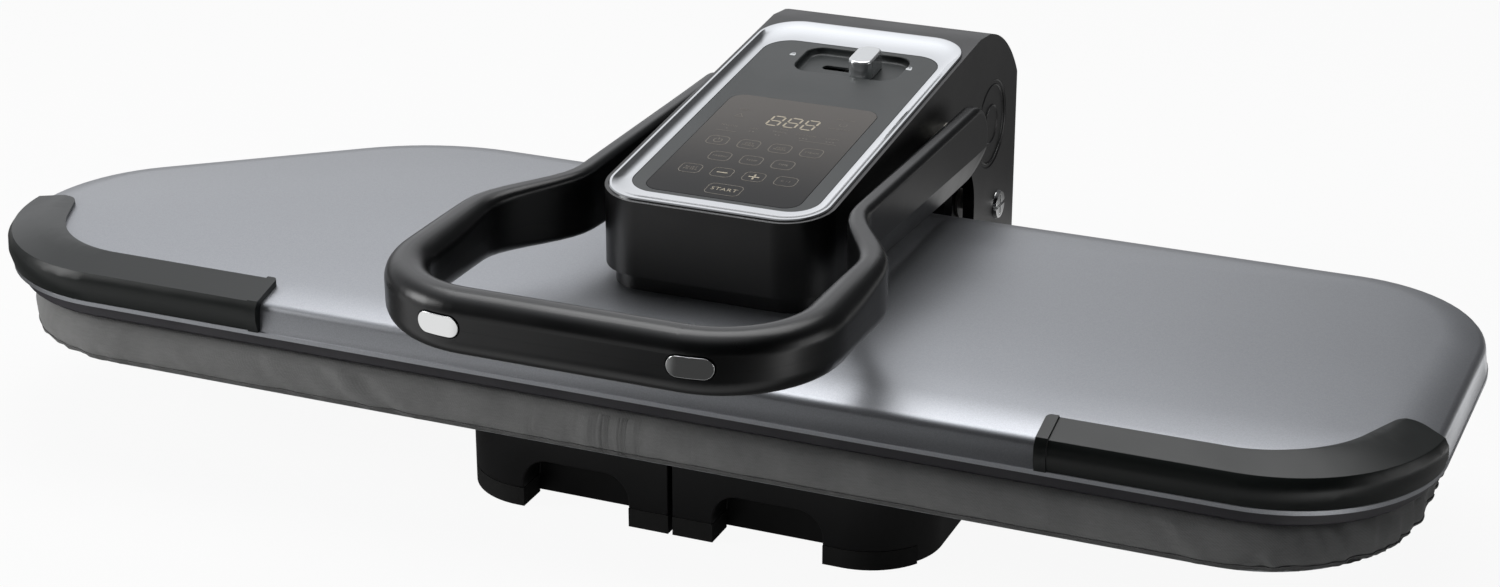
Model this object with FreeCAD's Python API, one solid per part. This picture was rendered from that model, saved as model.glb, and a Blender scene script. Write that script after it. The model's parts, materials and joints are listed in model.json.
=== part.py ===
"""Steam ironing press: board and base below, heated head, console and looped handle above.

Millimetres, +Z up. X runs along the board with the narrow nose at -X, Y runs from the
handle at the front to the hinge at the back. The origin is on the table under the middle
of the whole press, which is closed and locked, as it is stored.
"""
import FreeCAD
import Part
import collections
import math
import os

V = FreeCAD.Vector

# Overall sizes
board_length = 846.0            # nose guard to corner guard
press_depth = 518.3             # front of the handle to the back of the console
console_offset = 17.0           # console centre line, right of the board's middle

# Board outline, seen from above
cover_width = 280.0             # front edge to back edge of the silver cover
handle_reach = 88.3             # the handle stands this far out past the cover's front edge
taper_angle = 38.7              # back edge runs in to the nose at this angle
taper_start = 172.0             # from the nose to where the taper meets the back edge
taper_radius = 142.0
nose_back_radius = 94.0
nose_front_radius = 95.0
tail_front_radius = 88.0
tail_back_radius = 84.0

# Heights of the closed press, from the table up
base_height = 55.0
base_deck_height = 26.0
hem_height = 58.7
pad_top = 85.2
plate_gap = 0.3                 # between the cloth and the hot plate
plate_thickness = 9.5
lip_height = 94.7               # lower edge of the silver cover
crease_height = 113.5
cover_top = 118.4
console_floor_height = 128.8
console_front_top = 172.3
console_slope = 5.71            # degrees, rising to the back
pivot_height = 154.6
grip_height = 162.3
hinge_height = 78.0

# Silver cover
sheet = 1.0
lip_tall = 2.4                  # rolled hem along the lower edge
lip_stand = 0.5
border = 26.0                   # width of the sloped border
side_draft = 1.6                # the side leans in by this much
crease_radius = 5.0

# Guards
guard_stand = 2.8               # how far they stand out past the cover
guard_foot = 0.8                # and how far at their lower edge
guard_belly = 7.0               # height of the widest place over the lower edge
guard_gap = 0.15
guard_cap = 1.9                 # thickness over the border
guard_lean = 0.45               # their inner line leans in by this much for each mm back
guard_inner_radius = 64.0
guard_end_radius = 3.0
guard_tip_radius = 12.0
nose_guard_length = 211.0       # along the front edge, from the nose
nose_guard_land = 22.0          # width over the border, along the front
nose_guard_side = 60.0          # where the inner line turns back, from the nose
nose_guard_back = 86.0          # from the front edge to the tip of its back end
nose_guard_slant = -6.0         # its back end falls forward by this much from tip to side
corner_guard_length = 190.0     # along the front edge, from the tail
corner_guard_land = 18.5
corner_guard_side = 52.5
corner_guard_back = 88.0
corner_guard_slant = 10.0

# Hot plate and what lies on it
plate_inset = 5.0
plate_floor = 5.0               # thickness inside the rim of the casting
plate_rim = 7.0
plate_chamfer = 1.6
vent_radius = 2.0
vent_depth = 4.0
vent_pitch = 66.0
vent_rows = 3
vent_margin = 115.0             # no vents this close to the ends
element_radius = 3.6
element_gap = 0.02
element_inset = 62.0
element_shift = 28.0            # in front of the board's middle
element_leg_gap = 120.0
insulation_thickness = 3.0
insulation_lift = 1.0           # over the element
insulation_inset = 22.0

stud_radius = 4.0
stud_pitch = 210.0
stud_row = 62.0                 # rows of studs in front of and behind the middle

# Pad, cover and tray
tray_inset = 12.0
tray_wall = 1.0
tray_depth = 9.0
cloth = 1.4
cloth_foot_inset = 4.4          # the cloth swells from its hem and rounds over at the top
cloth_side_inset = 2.8
cloth_shoulder_inset = 6.6
cloth_round_inset = 12.0
cloth_flat_inset = 24.0
cloth_ends = 6.0                # the board's ends stop this far inside the cover's
cloth_rounder = 14.0            # and its corners are rounder by this much
crown = 0.8
hem_width = 2.6
hem_tall = 3.4
hem_stand = 0.8
tray_clearance = 0.2

# Base
base_left = 135.0               # left side, from the slot between the halves
base_right = 142.0
base_front_set = 38.0           # base front behind the cover's front edge
base_rear_set = 9.0             # base back in front of the console's back
base_corner = 42.0
base_rear_corner = 28.0
base_wall = 3.0
base_gap = 2.6                  # slot between the two halves
base_lift = 1.2                 # moulding clears the table by this much
arch_in = 25.0                  # inner edge of each arch, from the middle
arch_out = 89.0
arch_top = 29.6
arch_depth = 20.0
arch_radius = 15.0
deck_front_set = 6.0            # where the low deck starts, behind the cover's back edge
shoe_height = 11.0
rear_shoe_length = 34.0
rear_shoe_width = 46.0
chassis_thick = 1.8
chassis_inset = 16.0
chassis_hole = 15.0
post_radius = 5.5
bottom_thick = 1.5
bottom_gap = 0.3

# Hinge
hinge_back_set = 37.5           # hinge pin in front of the console's back
hinge_pin_radius = 6.0
pin_head_radius = 9.5
pin_head_thick = 2.2
ear_radius = 18.0
brace_set = 6.0                 # top of the rear brace below the pin's middle
ear_thick = 5.0
ear_offset = 41.0               # ear centre from the console centre line
bush_wall = 2.0
bush_flange = 1.5
bush_flange_radius = 12.0
running_gap = 0.05

# Console
console_width = 134.6
console_front_set = 82.7        # console front behind the cover's front edge
console_wall = 3.0
console_corner = 28.0
console_rear_corner = 6.0
column_depth = 84.0             # front to back of the column behind the board
column_wall = 7.3
column_bottom = 40.0
column_blend = 34.0             # underside of the console runs down into the column
column_front_radius = 30.0
column_back_radius = 22.0
ridge_set = 62.0                # ridge in front of the console's back
ridge_height = 197.0
ridge_blend = 19.0              # the slope ends this far in front of the ridge
brow_set = 21.5                 # middle of the rounded back
brow_height = 176.0
shoulder_height = 147.0         # where the rounded back meets the straight back
rear_window_top = 92.0
floor_thick = 2.5
fit_gap = 0.2
neck_side_set = 6.0
neck_front_set = 6.0
neck_rear_set = 12.0            # neck ends in front of the cover's back edge
neck_wall = 4.0
neck_roof = 2.0
neck_corner = 20.0
neck_hole = 60.0                # hole in the silver cover
neck_bore = 15.0                # radius of the passage through the neck and the floor
neck_screw_x = 45.0
rib_x = 29.0                    # stiffening ribs of the console's floor
rib_thick = 2.0
rib_tall = 3.0
rib_end = 16.0

# Fascia, measured along the sloped top from the console's front
ring_half = 65.0
ring_front = 2.5
ring_rear = 261.0
ring_corner = 25.0
ring_side = 9.5
ring_front_band = 16.0
ring_rear_band = 23.0
ring_hole_corner = 17.0
ring_stand = 1.2                # outer edge stands this far above the housing
ring_brim = 1.8                 # flat land on the outer edge
ring_edge = 0.6                 # chamfer outside the land
ring_hollow = 1.9               # the face dips to the panel with this power of the distance
ring_drop = 2.0                 # inner edge lies this far below the housing's top
ring_lap = 2.0                  # the ring laps over the edge of the housing's opening
ring_ledge = 2.6
fascia_depth = 6.5
panel_thick = 2.2
glass_half = 45.6
glass_front = 22.5
glass_rear = 154.5
glass_thick = 1.4
glass_corner = 9.0
seat_gap = 0.15

# Lock slider
pocket_shift = 4.5
pocket_half = 32.5
pocket_middle = 215.5
pocket_length = 36.0
pocket_deep = 4.6
pocket_corner = 10.0
pocket_foot = 2.6               # rounding between the pocket's wall and floor
pocket_lip = 0.7                # chamfer round its mouth
pocket_wall = 1.6
slot_width = 5.0
knob_width = 15.0
knob_length = 25.2
knob_height = 11.6
knob_dome = 1.6
knob_corner = 5.9
knob_shift = 8.2                # knob centre right of the pocket's middle when locked
knob_lift = 0.3                 # the knob runs this far above the pocket's floor
knob_stem = 4.5
lock_travel = 24.0
lock_plate_thick = 1.6
lock_tooth = 5.0

# Side caps
side_cap_radius = 27.8
side_cap_back_set = 53.9
side_cap_height = 136.7
side_cap_thick = 1.4
side_cap_rim = 3.0
side_cap_hub = 12.0
side_cap_dish = 0.4

# Handle: a round grip that thins into flat arms
grip_thick = 23.5               # front to back
grip_tall = 34.2
grip_round = 0.95               # corner radius as a share of half the thickness
loop_half = 113.3               # centre line of the loop at its widest
loop_corner = 53.9
loop_straight = 58.5            # straight run behind each front corner
swing_run = 75.6                # behind it, where each side swings in beside the console
thin_run = 125.8                # behind the corner, where each side has thinned to the flat arm
arm_x = 81.8                    # centre of each flat arm, from the console centre line
arm_thick = 11.0
arm_tall = 44.8
arm_round = 0.75
pivot_front_set = 204.5         # pivot behind the console's front
side_stations = 6               # sections along the first run, the swing and the flat arm
swing_stations = 9
arm_stations = 6
facet_start = 110.0             # the lower facet grows from here, behind the corner
facet_full = 150.0
facet_in = 5.5                  # how far the facet leans in at the bottom
facet_fade = 12.0               # its cutter starts this far outside
seam_drop = 0.4                 # seam of the shells, below the middle of the grip
seam_dip = 4.9                  # and below it again where the sides swing in
seam_dip_start = 30.0
seam_dip_end = 70.0
seam_arm_drop = 5.9             # below the pivot
seam_ledge = 0.5                # from the seam down to the facet's crease
core_grip_thick = 8.0
core_grip_tall = 15.0
core_arm_thick = 4.0
core_arm_tall = 28.0
core_gap = 0.2
fit_touch = 0.01               # a cut stops this short of a neighbour's face
shaft_radius = 6.0
shaft_bush_wall = 2.0
shaft_bush_flange = 1.5
shaft_bush_radius = 11.0
spacer_radius = 10.0
spacer_gap = 0.3
crank_radius = 13.0
crank_reach = 30.0
crank_thick = 8.0
crank_hole = 3.0

# Steam buttons
button_x = 68.5                 # from the console centre line, round the grip's front corners
button_rise = 0.8               # above the middle of the grip
button_half = 12.2
button_tall = 11.2
button_stand = 0.7
button_travel = 1.5
button_deep = 3.6
button_gap = 0.7
switch_thick = 1.8
switch_half = 3.5
switch_set = 0.4                # from the steel core to the back of the switch

# Water tank and services
tank_half = 50.0
tank_bottom = 98.0
tank_top = 142.0
tank_length = 62.0
tank_wall = 2.0
tank_gap = 0.5
tank_corner = 6.0
tank_grip_half = 24.0
tank_grip_tall = 16.0
tank_grip_deep = 12.0
tank_grip_rise = 10.0
rail_reach = 14.0               # rails under the tank, in from the column's walls
rail_thick = 2.5
cap_radius = 13.0
cap_wall = 2.5
cap_height = 3.0
cap_set = 19.0                  # from the tank's front
boiler_radius = 26.0
boiler_height = 17.0
pump_radius = 13.0
pump_length = 46.0
pump_snout = 12.0
pump_side = 6.0                 # from the housing's wall
pump_clear = 3.0                # in front of the console's rear screws
pipe_radius = 3.0
gland_radius = 8.0
gland_reach = 8.5
gland_bore = 3.6
gland_x = 72.0
gland_height = 14.5

# Screws
screw_radius = 2.0
screw_head_radius = 4.0
screw_head = 2.0
screw_length = 9.0

# Places that follow from the sizes
nose_x = -board_length / 2 + guard_stand
tail_x = board_length / 2 - guard_stand
handle_front = -press_depth / 2
console_back = press_depth / 2
cover_front = handle_front + handle_reach
cover_back = cover_front + cover_width
console_front = cover_front + console_front_set
console_half = console_width / 2
console_left = console_offset - console_half
console_right = console_offset + console_half
base_front = cover_front + base_front_set
base_rear = console_back - base_rear_set
arch_back = base_front + arch_depth
deck_front = cover_back + deck_front_set
deck_under = base_deck_height - base_wall
hinge_y = console_back - hinge_back_set
column_front = console_back - column_depth
pivot_y = console_front + pivot_front_set
neck_middle = (console_front + cover_back) / 2
plate_bottom = pad_top + plate_gap
plate_top = plate_bottom + plate_thickness
plate_deck = plate_bottom + plate_floor
floor_top = console_floor_height + floor_thick
panel_top = -ring_drop - 0.05
pocket_floor = panel_top - pocket_deep
slope = math.radians(console_slope)
grip_y = handle_front + grip_thick / 2
corner_x = loop_half - loop_corner
corner_y = grip_y + loop_corner
button_height = grip_height + button_rise
bush_bore = hinge_pin_radius + running_gap
shaft_bore = shaft_radius + running_gap
everywhere = 2 * board_length
SIDES = (-1, 1)


def fitted_reaches(corners, radii):
    """How far each rounding runs along its sides, limited so that neighbours never meet."""
    count = len(corners)
    points = [V(x, y, 0) for x, y in corners]
    reaches = []
    for i, here in enumerate(points):
        angle = (points[i - 1] - here).getAngle(points[(i + 1) % count] - here)
        reaches.append(radii[i] / math.tan(angle / 2))
    share = 1.0
    for i in range(count):
        side = (points[(i + 1) % count] - points[i]).Length
        share = min(share, 0.99 * side / (reaches[i] + reaches[(i + 1) % count]))
    return [reach * share for reach in reaches]


def loop_edges(corners, radii):
    """Closed outline in XY with each corner rounded by its own radius."""
    count = len(corners)
    points = [V(x, y, 0) for x, y in corners]
    reaches = fitted_reaches(corners, radii)
    starts = []
    middles = []
    ends = []
    for i, here in enumerate(points):
        before = (points[i - 1] - here).normalize()
        after = (points[(i + 1) % count] - here).normalize()
        half = before.getAngle(after) / 2
        radius = reaches[i] * math.tan(half)
        starts.append(here + before * reaches[i])
        ends.append(here + after * reaches[i])
        middles.append(here + (before + after).normalize() * (radius / math.sin(half) - radius))
    edges = []
    for i in range(count):
        edges.append(Part.Arc(starts[i], middles[i], ends[i]).toShape())
        edges.append(Part.LineSegment(ends[i], starts[(i + 1) % count]).toShape())
    return edges


def loop_wire(corners, radii, z=0.0):
    wire = Part.Wire(loop_edges(corners, radii))
    wire.translate(V(0, 0, z))
    return wire


def loop_prism(corners, radii, z0, z1):
    return Part.Face(loop_wire(corners, radii, z0)).extrude(V(0, 0, z1 - z0))


def inset_corners(corners, distance):
    """Move every side of an anticlockwise outline inward by the distance."""
    count = len(corners)
    points = [V(x, y, 0) for x, y in corners]
    result = []
    for i, here in enumerate(points):
        along = (here - points[i - 1]).normalize()
        away = (points[(i + 1) % count] - here).normalize()
        turn = along.x * away.y - along.y * away.x
        move = (away - along) * (distance / turn)
        result.append((here.x + move.x, here.y + move.y))
    return result


def rectangle(x0, x1, y0, y1):
    return [(x0, y0), (x1, y0), (x1, y1), (x0, y1)]


def rounded_box(x0, x1, y0, y1, z0, z1, radius):
    return loop_prism(rectangle(x0, x1, y0, y1), [radius] * 4, z0, z1)


def box(x0, x1, y0, y1, z0, z1):
    return Part.makeBox(x1 - x0, y1 - y0, z1 - z0, V(x0, y0, z0))


def rod_x(radius, x0, x1, y, z):
    """Round bar along X between two places given in either order."""
    return Part.makeCylinder(radius, abs(x1 - x0), V(min(x0, x1), y, z), V(1, 0, 0))


def rod_y(radius, x, y0, y1, z):
    return Part.makeCylinder(radius, y1 - y0, V(x, y0, z), V(0, 1, 0))


def rod_z(radius, x, y, z0, z1):
    return Part.makeCylinder(radius, z1 - z0, V(x, y, z0))


def line(start, end):
    """Straight edge of a side profile drawn as (y, z) points."""
    return Part.LineSegment(V(0, *start), V(0, *end)).toShape()


def arc(start, middle, end):
    return Part.Arc(V(0, *start), V(0, *middle), V(0, *end)).toShape()


def side_prism(edges, x0, x1):
    """Solid from a closed side profile, from one side to the other."""
    wire = Part.Wire(edges)
    wire.translate(V(x0, 0, 0))
    return Part.Face(wire).extrude(V(x1 - x0, 0, 0))


def mirrored(shape):
    """The same shape on the other side of the console's centre line."""
    return shape.mirror(V(console_offset, 0, 0), V(1, 0, 0))


def both_sides(shape):
    return Part.makeCompound([shape, mirrored(shape)])


def joined(shapes):
    return shapes[0].multiFuse(shapes[1:]).removeSplitter()


def slope_height(y):
    """Height of the console's sloped top at this place."""
    return console_front_top + (y - console_front) * math.tan(slope)


def on_slope(shape):
    """Set a shape drawn flat, x across and y back from the console's front, on the slope."""
    shape.rotate(V(0, 0, 0), V(1, 0, 0), console_slope)
    shape.translate(V(console_offset, console_front, console_front_top))
    return shape


def export(name, shape):
    shape.exportStep("parts/" + name + ".step")


# Outline shared by the board, the plate and the cover
def board_wire(inset, z, ends=0.0, rounder=0.0):
    """The outline moved in by the inset, at height z, with its ends moved in and its corners rounder."""
    taper = math.tan(math.radians(taper_angle))
    nose, tail = nose_x + ends, tail_x - ends
    corners = [
        (nose, cover_front),
        (tail, cover_front),
        (tail, cover_back),
        (nose_x + taper_start, cover_back),
        (nose, cover_back - (taper_start - ends) * taper),
    ]
    grow = rounder - inset
    radii = [nose_front_radius + grow, tail_front_radius + grow, tail_back_radius + grow,
             taper_radius - inset, nose_back_radius + grow]
    return loop_wire(inset_corners(corners, inset), radii, z)


def board_solid(rings):
    """Solid through the outline at each (inset, height) pair, from the bottom up."""
    return Part.makeLoft([board_wire(inset, z) for inset, z in rings], True, True)


def cloth_solid(rings):
    """Solid through the padded board's own outline, which is shorter and rounder."""
    return Part.makeLoft([board_wire(inset, z, cloth_ends, cloth_rounder) for inset, z in rings], True,
                         True)


def neck_passage(radius):
    """Round hole for steam and wires from the console down to the plate."""
    return rod_z(radius, console_offset, neck_middle, plate_top, floor_top + 1)


# Silver cover: the side leans in, rounds over the crease and slopes up to the flat top
def cover_rings(offset):
    """(inset, height) pairs up the cover's outside, or inside it by the offset."""
    steps = 3
    rise = math.atan2(cover_top - crease_height, border - side_draft)
    lean = math.atan2(side_draft, crease_height - lip_height)
    reach = crease_radius - offset
    rings = [(offset, lip_height + (lip_tall + lip_stand if offset <= 0 else -1.0))]
    for step in range(steps + 1):
        angle = lean + (math.pi / 2 - rise - lean) * step / steps
        inset = side_draft + crease_radius - reach * math.cos(angle)
        rings.append((inset, crease_height - crease_radius + reach * math.sin(angle)))
    rings.append((border + offset, cover_top - offset))
    return rings


def make_top_cover():
    lip = [(-lip_stand, lip_height), (-lip_stand, lip_height + lip_tall)]
    outer = board_solid(lip + cover_rings(0.0))
    return outer.cut(board_solid(cover_rings(sheet))).cut(neck_passage(neck_hole / 2))


# Guards: moulded strips that wrap the front corners and stop above the lip
def guard_shell():
    low = lip_height + lip_tall + lip_stand
    edge = crease_height + guard_gap
    outer = board_solid([
        (-guard_foot, low),
        (-guard_stand, low + guard_belly),
        (-guard_stand + 0.3, edge - 2.6),
        (-guard_stand + 2.8, edge + 1.0),
        (border - 5.0, cover_top + guard_cap - 0.4),
        (border + 6.0, cover_top + guard_cap),
    ])
    inside = [(inset - guard_gap, z + guard_gap) for inset, z in cover_rings(0.0)]
    inside[0] = (-guard_gap, low - 1.0)
    return outer.cut(board_solid(inside))


def guard_plan(end_x, side_x, land, side, back, slant):
    """Area that a guard covers: a strip along the front that turns the corner to a hooked tip."""
    way = math.copysign(1, side_x - end_x)
    tip = side - guard_lean * (back - land)
    front = cover_front - 2 * land
    corners = [
        (end_x, front),
        (end_x, cover_front + land),
        (side_x - way * side, cover_front + land),
        (side_x - way * tip, cover_front + back),
        (side_x + way * tip, cover_front + back - 2 * slant),
        (side_x + way * tip, front),
    ]
    radii = [1.0, guard_end_radius, guard_inner_radius, guard_tip_radius, 1.0, 1.0]
    if way > 0:
        corners.reverse()
        radii.reverse()
    return loop_prism(corners, radii, lip_height - 5, cover_top + 3 * guard_cap)


def make_nose_guard(shell):
    plan = guard_plan(nose_guard_length - board_length / 2, nose_x, nose_guard_land, nose_guard_side,
                      nose_guard_back, nose_guard_slant)
    return shell.common(plan)


def make_corner_guard(shell):
    plan = guard_plan(board_length / 2 - corner_guard_length, tail_x, corner_guard_land,
                      corner_guard_side, corner_guard_back, corner_guard_slant)
    return shell.common(plan)


# Hot plate, its element, the insulation over it and the studs that hang it from the cover
def make_heat_plate():
    """Cast plate with a rim round its upper side and steam vents in its face."""
    plate = board_solid([
        (plate_inset + plate_chamfer, plate_bottom),
        (plate_inset, plate_bottom + plate_chamfer),
        (plate_inset, plate_top),
    ])
    inside = plate_inset + plate_rim
    plate = plate.cut(board_solid([(inside, plate_deck), (inside, plate_top + 1)]))
    columns = int((board_length - 2 * vent_margin) / vent_pitch)
    first = -(columns - 0.5) / 2 * vent_pitch
    row_pitch = cover_width / (vent_rows + 1)
    vents = []
    for row in range(vent_rows):
        y = cover_front + row_pitch * (row + 1)
        for column in range(columns):
            x = first + (column + (row % 2) / 2) * vent_pitch
            vents.append(rod_z(vent_radius, x, y, plate_bottom - 1, plate_bottom + vent_depth))
    return plate.cut(Part.makeCompound(vents))


def make_heating_element():
    """Hairpin on the plate: two long legs joined by a half turn near the nose."""
    z = plate_deck + element_radius + element_gap
    middle = (cover_front + cover_back) / 2 - element_shift
    half = element_leg_gap / 2
    left = nose_x + element_inset + half
    right = tail_x - element_inset
    path = Part.Wire([
        Part.LineSegment(V(right, middle - half, z), V(left, middle - half, z)).toShape(),
        Part.Arc(V(left, middle - half, z), V(left - half, middle, z), V(left, middle + half, z)).toShape(),
        Part.LineSegment(V(left, middle + half, z), V(right, middle + half, z)).toShape(),
    ])
    ring = Part.Wire(Part.makeCircle(element_radius, V(right, middle - half, z), V(1, 0, 0)))
    return path.makePipeShell([ring], True, False)


def plate_studs(radius):
    """Rods from the plate to the cover: four in the front row, three behind."""
    middle = (cover_front + cover_back) / 2
    rods = []
    for row, count in ((-1, 4), (1, 3)):
        for i in range(count):
            x = tail_x - 90.0 - i * stud_pitch
            rods.append(rod_z(radius, x, middle + row * stud_row, plate_deck, cover_top - sheet))
    return Part.makeCompound(rods)


def make_insulation():
    low = plate_deck + 2 * element_radius + insulation_lift
    blanket = board_solid([(insulation_inset, low), (insulation_inset, low + insulation_thickness)])
    return blanket.cut(neck_passage(neck_hole / 2)).cut(plate_studs(stud_radius + fit_gap))


# Board: pressed tray, foam pad, cloth cover and its hem
def cloth_rings(inward):
    """(inset, height) pairs up the outside of the cloth, or inside it by the given distance."""
    side = pad_top - hem_height
    return [
        (cloth_side_inset + inward, hem_height + 0.33 * side),
        (cloth_side_inset + 0.9 + inward, hem_height + 0.66 * side),
        (cloth_shoulder_inset + inward, pad_top - 3.2 - inward),
        (cloth_round_inset + inward, pad_top - crown - inward),
        (cloth_flat_inset + inward, pad_top - inward),
    ]


def make_board_tray():
    foot = tray_inset + tray_wall
    outer = cloth_solid([(foot, base_height), (tray_inset, base_height + tray_depth)])
    hollow = cloth_solid([
        (foot + tray_wall, base_height + tray_wall),
        (tray_inset + tray_wall, base_height + tray_depth + 0.01),
    ])
    return outer.cut(hollow)


def make_board_pad():
    foot = tray_inset + 2 * tray_wall + tray_clearance
    rim = base_height + tray_depth
    rings = [(foot, base_height + tray_wall + tray_clearance), (foot - tray_wall, rim)]
    rings += [(inset, z) for inset, z in cloth_rings(cloth + 0.1) if z > rim + 1]
    return cloth_solid(rings)


def make_board_cover():
    outer = cloth_solid([(cloth_foot_inset, hem_height + 0.5)] + cloth_rings(0.0))
    inner = cloth_solid([(cloth_foot_inset + cloth, hem_height)] + cloth_rings(cloth))
    return outer.cut(inner)


def make_cover_hem():
    outside = cloth_foot_inset - hem_stand
    low = hem_height - 0.5
    outer = cloth_solid([(outside, low), (outside, low + hem_tall)])
    inner = cloth_solid([(outside + hem_width, low - 1), (outside + hem_width, low + hem_tall + 1)])
    cloth_body = cloth_solid([(cloth_foot_inset, hem_height + 0.5)] + cloth_rings(0.0))
    return outer.cut(inner).cut(cloth_body)


# Base: two moulded halves over a steel chassis, on rubber shoes
def base_corners(inset):
    x0, x1 = console_offset - base_left + inset, console_offset + base_right - inset
    return rectangle(x0, x1, base_front + inset, base_rear - inset)


def base_block(inset, z0, z1):
    front, rear = base_corner - inset, base_rear_corner - inset
    return loop_prism(base_corners(inset), [front, front, rear, rear], z0, z1)


def arch_cutter(side):
    """Recess in the front face with a rounded top, open at the bottom."""
    inner, outer = console_offset + side * arch_in, console_offset + side * arch_out
    x0, x1 = min(inner, outer), max(inner, outer)
    block = box(x0, x1, base_front - 20, arch_back, -5, arch_top - arch_radius)
    crown = box(x0 + arch_radius, x1 - arch_radius, base_front - 20, arch_back, -5, arch_top)
    ends = [rod_y(arch_radius, x, base_front - 20, arch_back, arch_top - arch_radius)
            for x in (x0 + arch_radius, x1 - arch_radius)]
    return joined([block, crown] + ends)


def shoe_cells(gap):
    """Boxes that the rubber shoes fill: four along the front, two at the back corners."""
    cells = []
    for side, half in ((-1, base_left), (1, base_right)):
        for near, far in ((base_gap / 2, arch_in), (arch_out, half + 5)):
            a, b = console_offset + side * near, console_offset + side * far
            cells.append((min(a, b), max(a, b), base_front - 5, arch_back))
        a, b = console_offset + side * (half - rear_shoe_width), console_offset + side * (half + 5)
        cells.append((min(a, b), max(a, b), base_rear - rear_shoe_length, base_rear + 5))
    return [box(x0 - gap, x1 + gap, y0 - gap, y1 + gap, -gap, shoe_height + gap)
            for x0, x1, y0, y1 in cells]


def post_places(side):
    half = base_left if side < 0 else base_right
    x = console_offset + side * (half - chassis_inset - 2 * post_radius - base_wall)
    return [(x, arch_back + 4 * post_radius), (x, deck_front - 4 * post_radius)]


def tower_slot():
    half = ear_offset + ear_thick / 2 + 1.5
    foot = ear_radius + 1.5
    return box(console_offset - half, console_offset + half, hinge_y - foot, hinge_y + foot,
               deck_under - 1, base_deck_height + 5)


def make_base_half(side):
    tall = base_block(0, base_lift, base_height)
    behind = box(-everywhere, everywhere, deck_front, everywhere, base_deck_height, base_height + 5)
    inner_front = arch_back + base_wall
    cavity = base_block(base_wall, base_lift - 1, base_height - base_wall)
    cavity = cavity.common(box(-everywhere, everywhere, inner_front, everywhere, -5, base_height))
    deck_space = box(-everywhere, everywhere, deck_front - base_wall, everywhere, deck_under, base_height)
    body = tall.cut(behind).cut(cavity.cut(deck_space)).cut(arch_cutter(side))
    body = body.cut(Part.makeCompound(shoe_cells(0)))
    near = console_offset + side * base_gap / 2
    far = console_offset + side * everywhere
    half = body.common(box(min(near, far), max(near, far), -everywhere, everywhere, -5, base_height + 5))
    posts = [rod_z(post_radius, x, y, deck_under, base_height - base_wall) for x, y in post_places(side)]
    return joined([half] + posts).cut(tower_slot())


def make_shoes():
    outline = base_block(0, 0, shoe_height)
    return Part.makeCompound([cell.common(outline) for cell in shoe_cells(0)])


def make_bottom_plate():
    """Sheet that closes the base from below, inside the skirt."""
    inset = base_wall + bottom_gap
    sheet_metal = base_block(inset, base_lift, base_lift + bottom_thick)
    behind_arches = box(-everywhere, everywhere, arch_back + inset, everywhere, -5, base_height)
    return sheet_metal.common(behind_arches).cut(Part.makeCompound(shoe_cells(bottom_gap)))


def make_chassis():
    """Steel plate that ties both halves together and carries the hinge tower."""
    z = deck_under - chassis_thick
    x0 = console_offset - base_left + chassis_inset
    x1 = console_offset + base_right - chassis_inset
    front = arch_back + base_wall + chassis_inset / 2
    rear = base_rear - base_wall - chassis_inset / 2
    plate = rounded_box(x0, x1, front, rear, z, deck_under, 10)
    holes = []
    for side in SIDES:
        for share in (0.25, 0.5):
            holes.append(rod_z(chassis_hole, console_offset + side * base_left / 2,
                               front + (rear - front) * share, z - 1, deck_under + 1))
    return plate.cut(Part.makeCompound(holes))


def make_hinge_tower():
    """Folded steel bracket with two ears that stand up inside the column."""
    outer = ear_offset + ear_thick / 2
    inner = ear_offset - ear_thick / 2
    front, rear = hinge_y - ear_radius, hinge_y + ear_radius
    ears = []
    for side in SIDES:
        a, b = console_offset + side * inner, console_offset + side * outer
        ears.append(box(min(a, b), max(a, b), front, rear, deck_under, hinge_height))
        ears.append(rod_x(ear_radius, a, b, hinge_y, hinge_height))
    web = box(console_offset - outer, console_offset + outer, front, rear, deck_under,
              deck_under + ear_thick)
    brace = box(console_offset - outer, console_offset + outer, rear - ear_thick, rear, deck_under,
                hinge_height - brace_set)
    tower = joined(ears + [web, brace])
    return tower.cut(rod_x(bush_bore + bush_wall, console_left, console_right, hinge_y, hinge_height))


def make_bushes(bore, wall, flange_radius, inner, outer, flange, y, z):
    """Flanged bushes through a wall on both sides, each flange on the wall's outer face."""
    sleeve = rod_x(bore + wall, console_offset + inner, console_offset + outer + flange, y, z)
    disc = rod_x(flange_radius, console_offset + outer, console_offset + outer + flange, y, z)
    bush = sleeve.fuse(disc).cut(rod_x(bore, console_left - 5, console_right + 5, y, z))
    return both_sides(bush.removeSplitter())


def make_hinge_bushes():
    return make_bushes(bush_bore, bush_wall, bush_flange_radius, ear_offset - ear_thick / 2,
                       ear_offset + ear_thick / 2, bush_flange, hinge_y, hinge_height)


def make_hinge_pin():
    """Through pin with a chamfered, slotted head on each cheek."""
    shaft = rod_x(hinge_pin_radius, console_left, console_right, hinge_y, hinge_height)
    head = Part.makeCone(pin_head_radius, pin_head_radius - 1.2, pin_head_thick,
                         V(console_right, hinge_y, hinge_height), V(1, 0, 0))
    slot_floor = console_right + pin_head_thick / 2
    slot = box(slot_floor, slot_floor + 5, hinge_y - 0.8, hinge_y + 0.8,
               hinge_height - pin_head_radius + 3, hinge_height + pin_head_radius - 3)
    head = head.cut(slot)
    return joined([shaft, head, mirrored(head)])


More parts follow.
